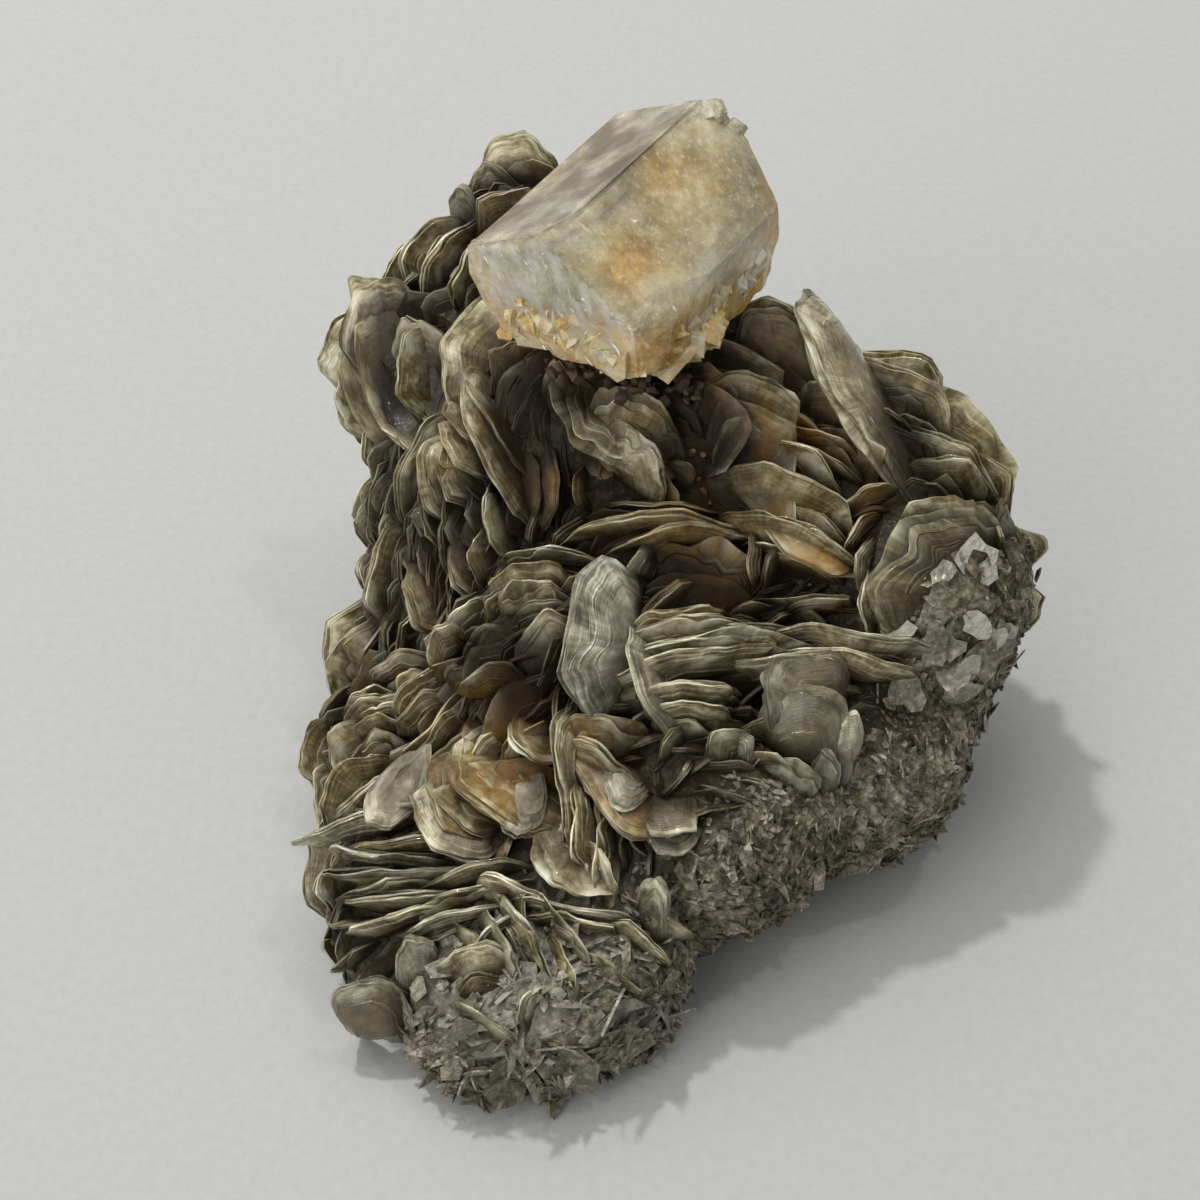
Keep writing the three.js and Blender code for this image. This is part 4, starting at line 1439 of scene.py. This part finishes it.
def crystal_grid(spacing, chips):
    """The CAD crystal with small chips off it, cut into a grid so its faces can take relief."""
    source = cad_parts["aquamarine"]
    mesh = bmesh.new()
    mesh.from_mesh(source.data)
    mesh.transform(source.matrix_world)
    bmesh.ops.scale(mesh, vec=(1 / MM,) * 3, verts=mesh.verts)
    dissolve_flat(mesh, 1)
    for point, away in chips:
        everything = mesh.verts[:] + mesh.edges[:] + mesh.faces[:]
        bmesh.ops.bisect_plane(mesh, geom=everything, plane_co=point, plane_no=away, clear_outer=True)
        corners = [vert.co.copy() for vert in mesh.verts]
        mesh.clear()
        for corner in corners:
            mesh.verts.new(corner)
        made = bmesh.ops.convex_hull(mesh, input=mesh.verts)
        loose = set(made["geom_interior"] + made["geom_unused"])
        loose = [item for item in loose if isinstance(item, bmesh.types.BMVert)]
        bmesh.ops.delete(mesh, geom=loose, context="VERTS")
        dissolve_flat(mesh, 0.5)
    axes = crystal_axes()
    corners = crystal_coordinates(np.array([vert.co for vert in mesh.verts]))
    for index in range(3):
        level = corners[:, index].min() + spacing
        while level < corners[:, index].max():
            everything = mesh.verts[:] + mesh.edges[:] + mesh.faces[:]
            cut = CRYSTAL_CORNER + axes[index] * level
            bmesh.ops.bisect_plane(mesh, geom=everything, plane_co=cut, plane_no=axes[index],
                                   dist=0.0005)
            level += spacing
    bmesh.ops.triangulate(mesh, faces=mesh.faces)
    mesh.normal_update()
    mesh.verts.index_update()
    normals = np.array([vert.normal for vert in mesh.verts])
    points, faces = closed_parts(mesh)
    return points, normals, faces


def crystal_tints(points):
    """How warm and how golden the inside is at each point."""
    patches = layered_noise(points, 6.0, 41, 3)
    warm = spot_weight(points, WARM_SPOTS) + 0.25 * patches - spot_weight(points, CLEAR_SPOTS)
    warm = np.clip(warm, 0, 1)
    gold = np.clip((GOLD_LEVEL + 2.5 * patches - points[:, 2]) / 4.0, 0, 1)
    gold = np.clip(np.maximum(gold, spot_weight(points, GOLD_SPOTS) + 0.2 * patches), 0, 1)
    return warm, gold


def add_splinter(soup, middle, direction, length, width):
    """A thin closed needle with six corners."""
    direction = unit(direction)
    helper = unit(np.cross(direction, (0.3, 0.5, 0.8)))
    other = np.cross(direction, helper)
    points = [middle + direction * length / 2, middle - direction * length / 2]
    for turn in range(4):
        angle = turn * math.pi / 2
        size = width / 2 if turn % 2 else width / 5
        points.append(middle + (helper * math.cos(angle) + other * math.sin(angle)) * size)
    faces = []
    for turn in range(4):
        first, second = 2 + turn, 2 + (turn + 1) % 4
        faces.append((0, first, second))
        faces.append((1, second, first))
    soup.add(np.array(points), faces)


def add_shard(soup, middle, size, stain, tone, clear, rng, corners=9):
    """A small block with flat broken faces."""
    ways = unit(rng.normal(size=(corners, 3)))
    shape, faces = hull([way * rng.uniform(0.8, 1.1) for way in ways])
    shape = middle + shape * size * rng.uniform(0.5, 1.1, 3)
    soup.add(shape, faces, stain=stain, tone=tone, rim=clear, layer=rng.uniform(0, 0.8) ** 3)


def foot_chips(points, rng):
    """Cuts off one corner of the front, and 0.5 to 1.8 mm deep off the underside and the back."""
    axis = crystal_axes()[2]
    farthest = points[(points @ CORNER_CHIP).argmax()]
    chips = [(Vector(farthest - CORNER_CHIP_DEPTH * CORNER_CHIP), Vector(CORNER_CHIP))]
    while len(chips) < CHIPS:
        away = unit(rng.normal(size=3))
        if away[2] < -0.35 and away.dot(axis) < 0.55 or away.dot(axis) < -0.75:
            depth = rng.uniform(0.5, 1.8)
            farthest = points[(points @ away).argmax()]
            chips.append((Vector(farthest - away * depth), Vector(away)))
    return chips


def sunk_in_skin(skin, spot, size):
    """The place on the crystal nearest to a spot, set in by a little under half a size."""
    spot, normal, _, _ = skin.find_nearest(Vector(spot))
    return np.array(spot - 0.45 * size * normal)


def add_shards(soup, skin, line, count, spread, sizes, golds, rng):
    """Broken blocks on the crystal's surface, scattered along a line of across, up, out."""
    line = np.array(line)
    for _ in range(count):
        place = rng.uniform(0, len(line) - 1.001)
        first = int(place)
        spot = line[first] + (line[first + 1] - line[first]) * (place - first)
        spot = MIDDLE + working_to_frame(spot) + spread * rng.normal(size=3)
        size = rng.uniform(*sizes)
        spot = sunk_in_skin(skin, spot, size)
        stain, tone, clear = rng.uniform(*golds), rng.uniform(0, 0.4), rng.uniform(-1.8, -0.6)
        add_shard(soup, spot, size, stain, tone, clear, rng)


def is_inside(skin, spot, room):
    """Whether a spot is inside the crystal, with room to its surface."""
    place, normal, _, distance = skin.find_nearest(Vector(spot))
    return distance > room and (Vector(spot) - place).dot(normal) < 0


def add_inner_splinter(soup, skin, middle, way, length, room, rng):
    """A splinter of random width, if both its ends are inside the crystal."""
    if all(is_inside(skin, middle + way * half, room) for half in (length / 2, -length / 2)):
        add_splinter(soup, middle, way, length, rng.uniform(*SPLINTER_WIDTHS))


def on_left(normals):
    """How far the surface looks the way of the upper left face, from 0 to 1."""
    return np.clip(normals @ LEFT_FACE * 3 - 2, 0, 1)


def build_crystal():
    """The crystal. All its parts share the random draws, so their order matters."""
    rng = np.random.default_rng(SEED + 5)
    bare, _, _ = crystal_grid(5.0, ())
    chips = foot_chips(bare, rng)
    skin = build_crystal_surface(chips)
    build_cloudy_body(chips)
    build_splinters(skin, rng)
    build_broken_blocks(skin, rng)
    build_edge_line()


def build_crystal_surface(chips):
    """The surface, with growth relief along it and an etched end. Gives its plain skin."""
    points, normals, faces = crystal_grid(0.5, chips)
    skin = bvhtree.BVHTree.FromPolygons([tuple(point) for point in points], faces)
    local = crystal_coordinates(points)
    on_end = np.clip(normals @ crystal_axes()[2] * 2 - 1, 0, 1)
    low = np.clip((57 - points[:, 2]) / 5, 0, 1)
    along_streaks = lattice_noise(local * (0.9, 0.9, 0.12), 51)
    etched = np.stack([
        (local[:, 0] * math.cos(ETCH_TURN) + local[:, 1] * math.sin(ETCH_TURN)) * 0.35,
        (local[:, 1] * math.cos(ETCH_TURN) - local[:, 0] * math.sin(ETCH_TURN)) * 1.6,
        np.full(len(points), 0.5),
    ], axis=1)
    relief = 0.06 * along_streaks + on_end * 0.16 * layered_noise(etched, 1.0, 52, 2)
    relief += low * 0.35 * layered_noise(points, 1.8, 53, 2)
    clear = np.clip(spot_weight(points, CLEAR_SPOTS) - 0.5 * on_end, -0.5, 1)
    warm, gold = crystal_tints(points)
    patches = layered_noise(points, 2.5, 57, 3)
    # The etched end is whitened: partly its own frosted etching, partly painted light lifting an end
    # that sits in shade.
    white = on_end * np.clip(0.45 + 1.3 * layered_noise(etched * 1.3, 1.0, 55, 3), 0, 1)
    white *= 1 - 0.7 * gold
    white += np.clip(spot_weight(points, WHITE_SPOTS) * (0.6 + 1.2 * patches), 0, 0.9)
    # The upper left face: partly its own smoky tone, partly painted shade.
    left_face_tone_and_shade = on_left(normals) * np.clip(0.62 + 0.8 * patches, 0, 1)
    soup = Soup()
    soup.add(points + normals * (relief - 0.1)[:, None], faces, tone=warm, stain=gold, rim=clear,
             deep=left_face_tone_and_shade, layer=np.clip(white, 0, 1))
    make_object("beryl_crystal", soup, beryl_material(), *BERYL, sharp=18)
    return skin


def build_cloudy_body(chips):
    """The cloudy body under the surface, deeper down where the crystal is clear."""
    points, normals, faces = crystal_grid(0.9, chips)
    depth = CLOUD_DEPTH + 0.6 * layered_noise(points, 3.0, 61, 3)
    depth += 1.2 * spot_weight(points, CLEAR_SPOTS)
    warm, gold = crystal_tints(points)
    soup = Soup()
    # The cloudy inside takes the same painted shade under the upper left face.
    soup.add(points - normals * depth[:, None], faces, tone=warm, stain=gold,
             deep=0.9 * on_left(normals))
    make_object("beryl_cloudy_inside", soup, cloud_material(), *BERYL)


def build_splinters(skin, rng):
    """White splinters under the etched end, along the upper left face and round the cracks."""
    white = plain_material("beryl_splinters", (0.93, 0.92, 0.88), 0.12, metallic=0.3)
    axes = crystal_axes()
    down_right = axes[0] * math.cos(ETCH_TURN) + axes[1] * math.sin(ETCH_TURN)
    soup = Soup()
    for _ in range(300):
        spot = CRYSTAL_CORNER + axes[0] * rng.uniform(0.5, 22) + axes[1] * rng.uniform(-6, 11)
        spot = spot - axes[2] * rng.uniform(0.1, 0.3)
        way = unit(down_right + 0.25 * rng.normal(size=3))
        add_inner_splinter(soup, skin, spot, way, rng.uniform(0.3, 2.0), 0.02, rng)
    for x, y, z, spread, count in SPLINTER_SPOTS:
        for _ in range(count):
            spot = np.array([x, y, z]) + spread * rng.normal(size=3) * 0.5
            way = unit(rng.normal(size=3))
            add_inner_splinter(soup, skin, spot, way, rng.uniform(0.2, 1.1), 0.05, rng)
    make_object("beryl_splinters", soup, white, *BERYL)


def build_broken_blocks(skin, rng):
    """Broken blocks of beryl along the foot and the front, and three peaks at the back."""
    soup = Soup()
    add_shards(soup, skin, CRYSTAL_FOOT[1:], 14, 0.8, (2.6, 3.6), (0.5, 1.0), rng)
    add_shards(soup, skin, CRYSTAL_FOOT, 44, 1.1, (1.3, 2.4), (0.5, 1.0), rng)
    add_shards(soup, skin, CRYSTAL_FOOT, 60, 0.9, (0.5, 1.2), (0.2, 1.0), rng)
    for x, y, z, size in PEAKS:
        add_shard(soup, sunk_in_skin(skin, (x, y, z), size), size, 0.0, 0.2, -0.1, rng, 14)
    add_shards(soup, skin, CRYSTAL_FRONT, 40, 1.0, (1.2, 2.2), (0.5, 1.0), rng)
    add_shards(soup, skin, CRYSTAL_BEVEL, 14, 1.0, (1.8, 3.0), (0.0, 0.4), rng)
    add_shards(soup, skin, CRYSTAL_BEVEL[:3], 20, 1.3, (1.0, 1.8), (0.3, 1.0), rng)
    make_object("beryl_broken_blocks", soup, beryl_material(), *BERYL, sharp=10)


def build_edge_line():
    """The dark line beside the top edge."""
    first, last = np.array(EDGE_LINE)
    soup = Soup()
    add_splinter(soup, (first + last) / 2, last - first, np.linalg.norm(last - first), 0.2)
    line = plain_material("beryl_edge_line", (0.07, 0.05, 0.03), 0.3)
    make_object("beryl_edge_line", soup, line, *BERYL)


# Floor, lights and camera


def build_stage():
    """The pale paper that the specimen stands on."""
    bpy.ops.mesh.primitive_plane_add(size=1.6, location=(0, 0, -0.0002))
    floor = bpy.context.object
    floor.name = "paper_floor"
    shader = Shader("paper")
    fibres = shader.noise(shader.place(), 900.0, 5.0, 0.6)
    colour = shader.ramp(fibres, [(0.3, (0.29, 0.294, 0.284)), (0.7, (0.315, 0.319, 0.309))])
    shader.set("Base Color", colour)
    shader.set("Roughness", 0.95)
    shader.set("Normal", shader.bump(fibres, 0.25, 0.0004))
    floor.data.materials.append(shader.material)


def aim(thing, target):
    """Turns a lamp or camera to look at a target."""
    way = Vector(target) - thing.location
    thing.rotation_euler = way.to_track_quat("-Z", "Y").to_euler()


def add_area(name, location, target, size, power, colour=(1, 1, 1)):
    data = bpy.data.lights.new(name, "AREA")
    data.energy = power
    data.size = size
    data.color = colour
    lamp = bpy.data.objects.new(name, data)
    bpy.context.scene.collection.objects.link(lamp)
    lamp.location = location
    aim(lamp, target)


def build_light():
    world = bpy.data.worlds.new("room")
    bpy.context.scene.world = world
    world.use_nodes = True
    background = world.node_tree.nodes["Background"]
    background.inputs["Color"].default_value = (0.97, 0.98, 0.98, 1.0)
    background.inputs["Strength"].default_value = 0.54
    add_area("window", (-0.38, 0.55, 1.25), (0, 0, 0.02), 1.7, 15.5, (1.0, 0.99, 0.97))
    add_area("lamp", (-0.28, 0.35, 0.95), (0, 0, 0.03), 0.06, 6.5, (1.0, 0.99, 0.96))
    add_area("spark", (0.3, 0.1, 0.9), (0, 0, 0.03), 0.05, 1.0)
    add_area("fill", (-0.8, -0.8, 0.7), (0, 0, 0.03), 0.9, 9.0, (1.0, 0.99, 0.97))
    bpy.context.scene.view_settings.view_transform = "Standard"


def build_camera():
    """A camera on the working frame's outward axis, looking at its middle."""
    data = bpy.data.cameras.new("camera")
    data.lens = CAMERA_LENS
    data.sensor_width = CAMERA_SENSOR
    camera = bpy.data.objects.new("camera", data)
    bpy.context.scene.collection.objects.link(camera)
    camera.location = (MIDDLE + CAMERA_DISTANCE * AXES[2]) * MM
    aim(camera, MIDDLE * MM)
    bpy.context.scene.camera = camera


def build_all():
    build_camera()
    mica = mica_material()
    build_fillers(mica, build_heroes(mica))
    build_rock(rock_material("mica_rock", 0.08))
    build_flakes(rock_material("mica_flakes", 0.3))
    build_crumbs()
    build_crystal()
    build_stage()
    build_light()


build_all()
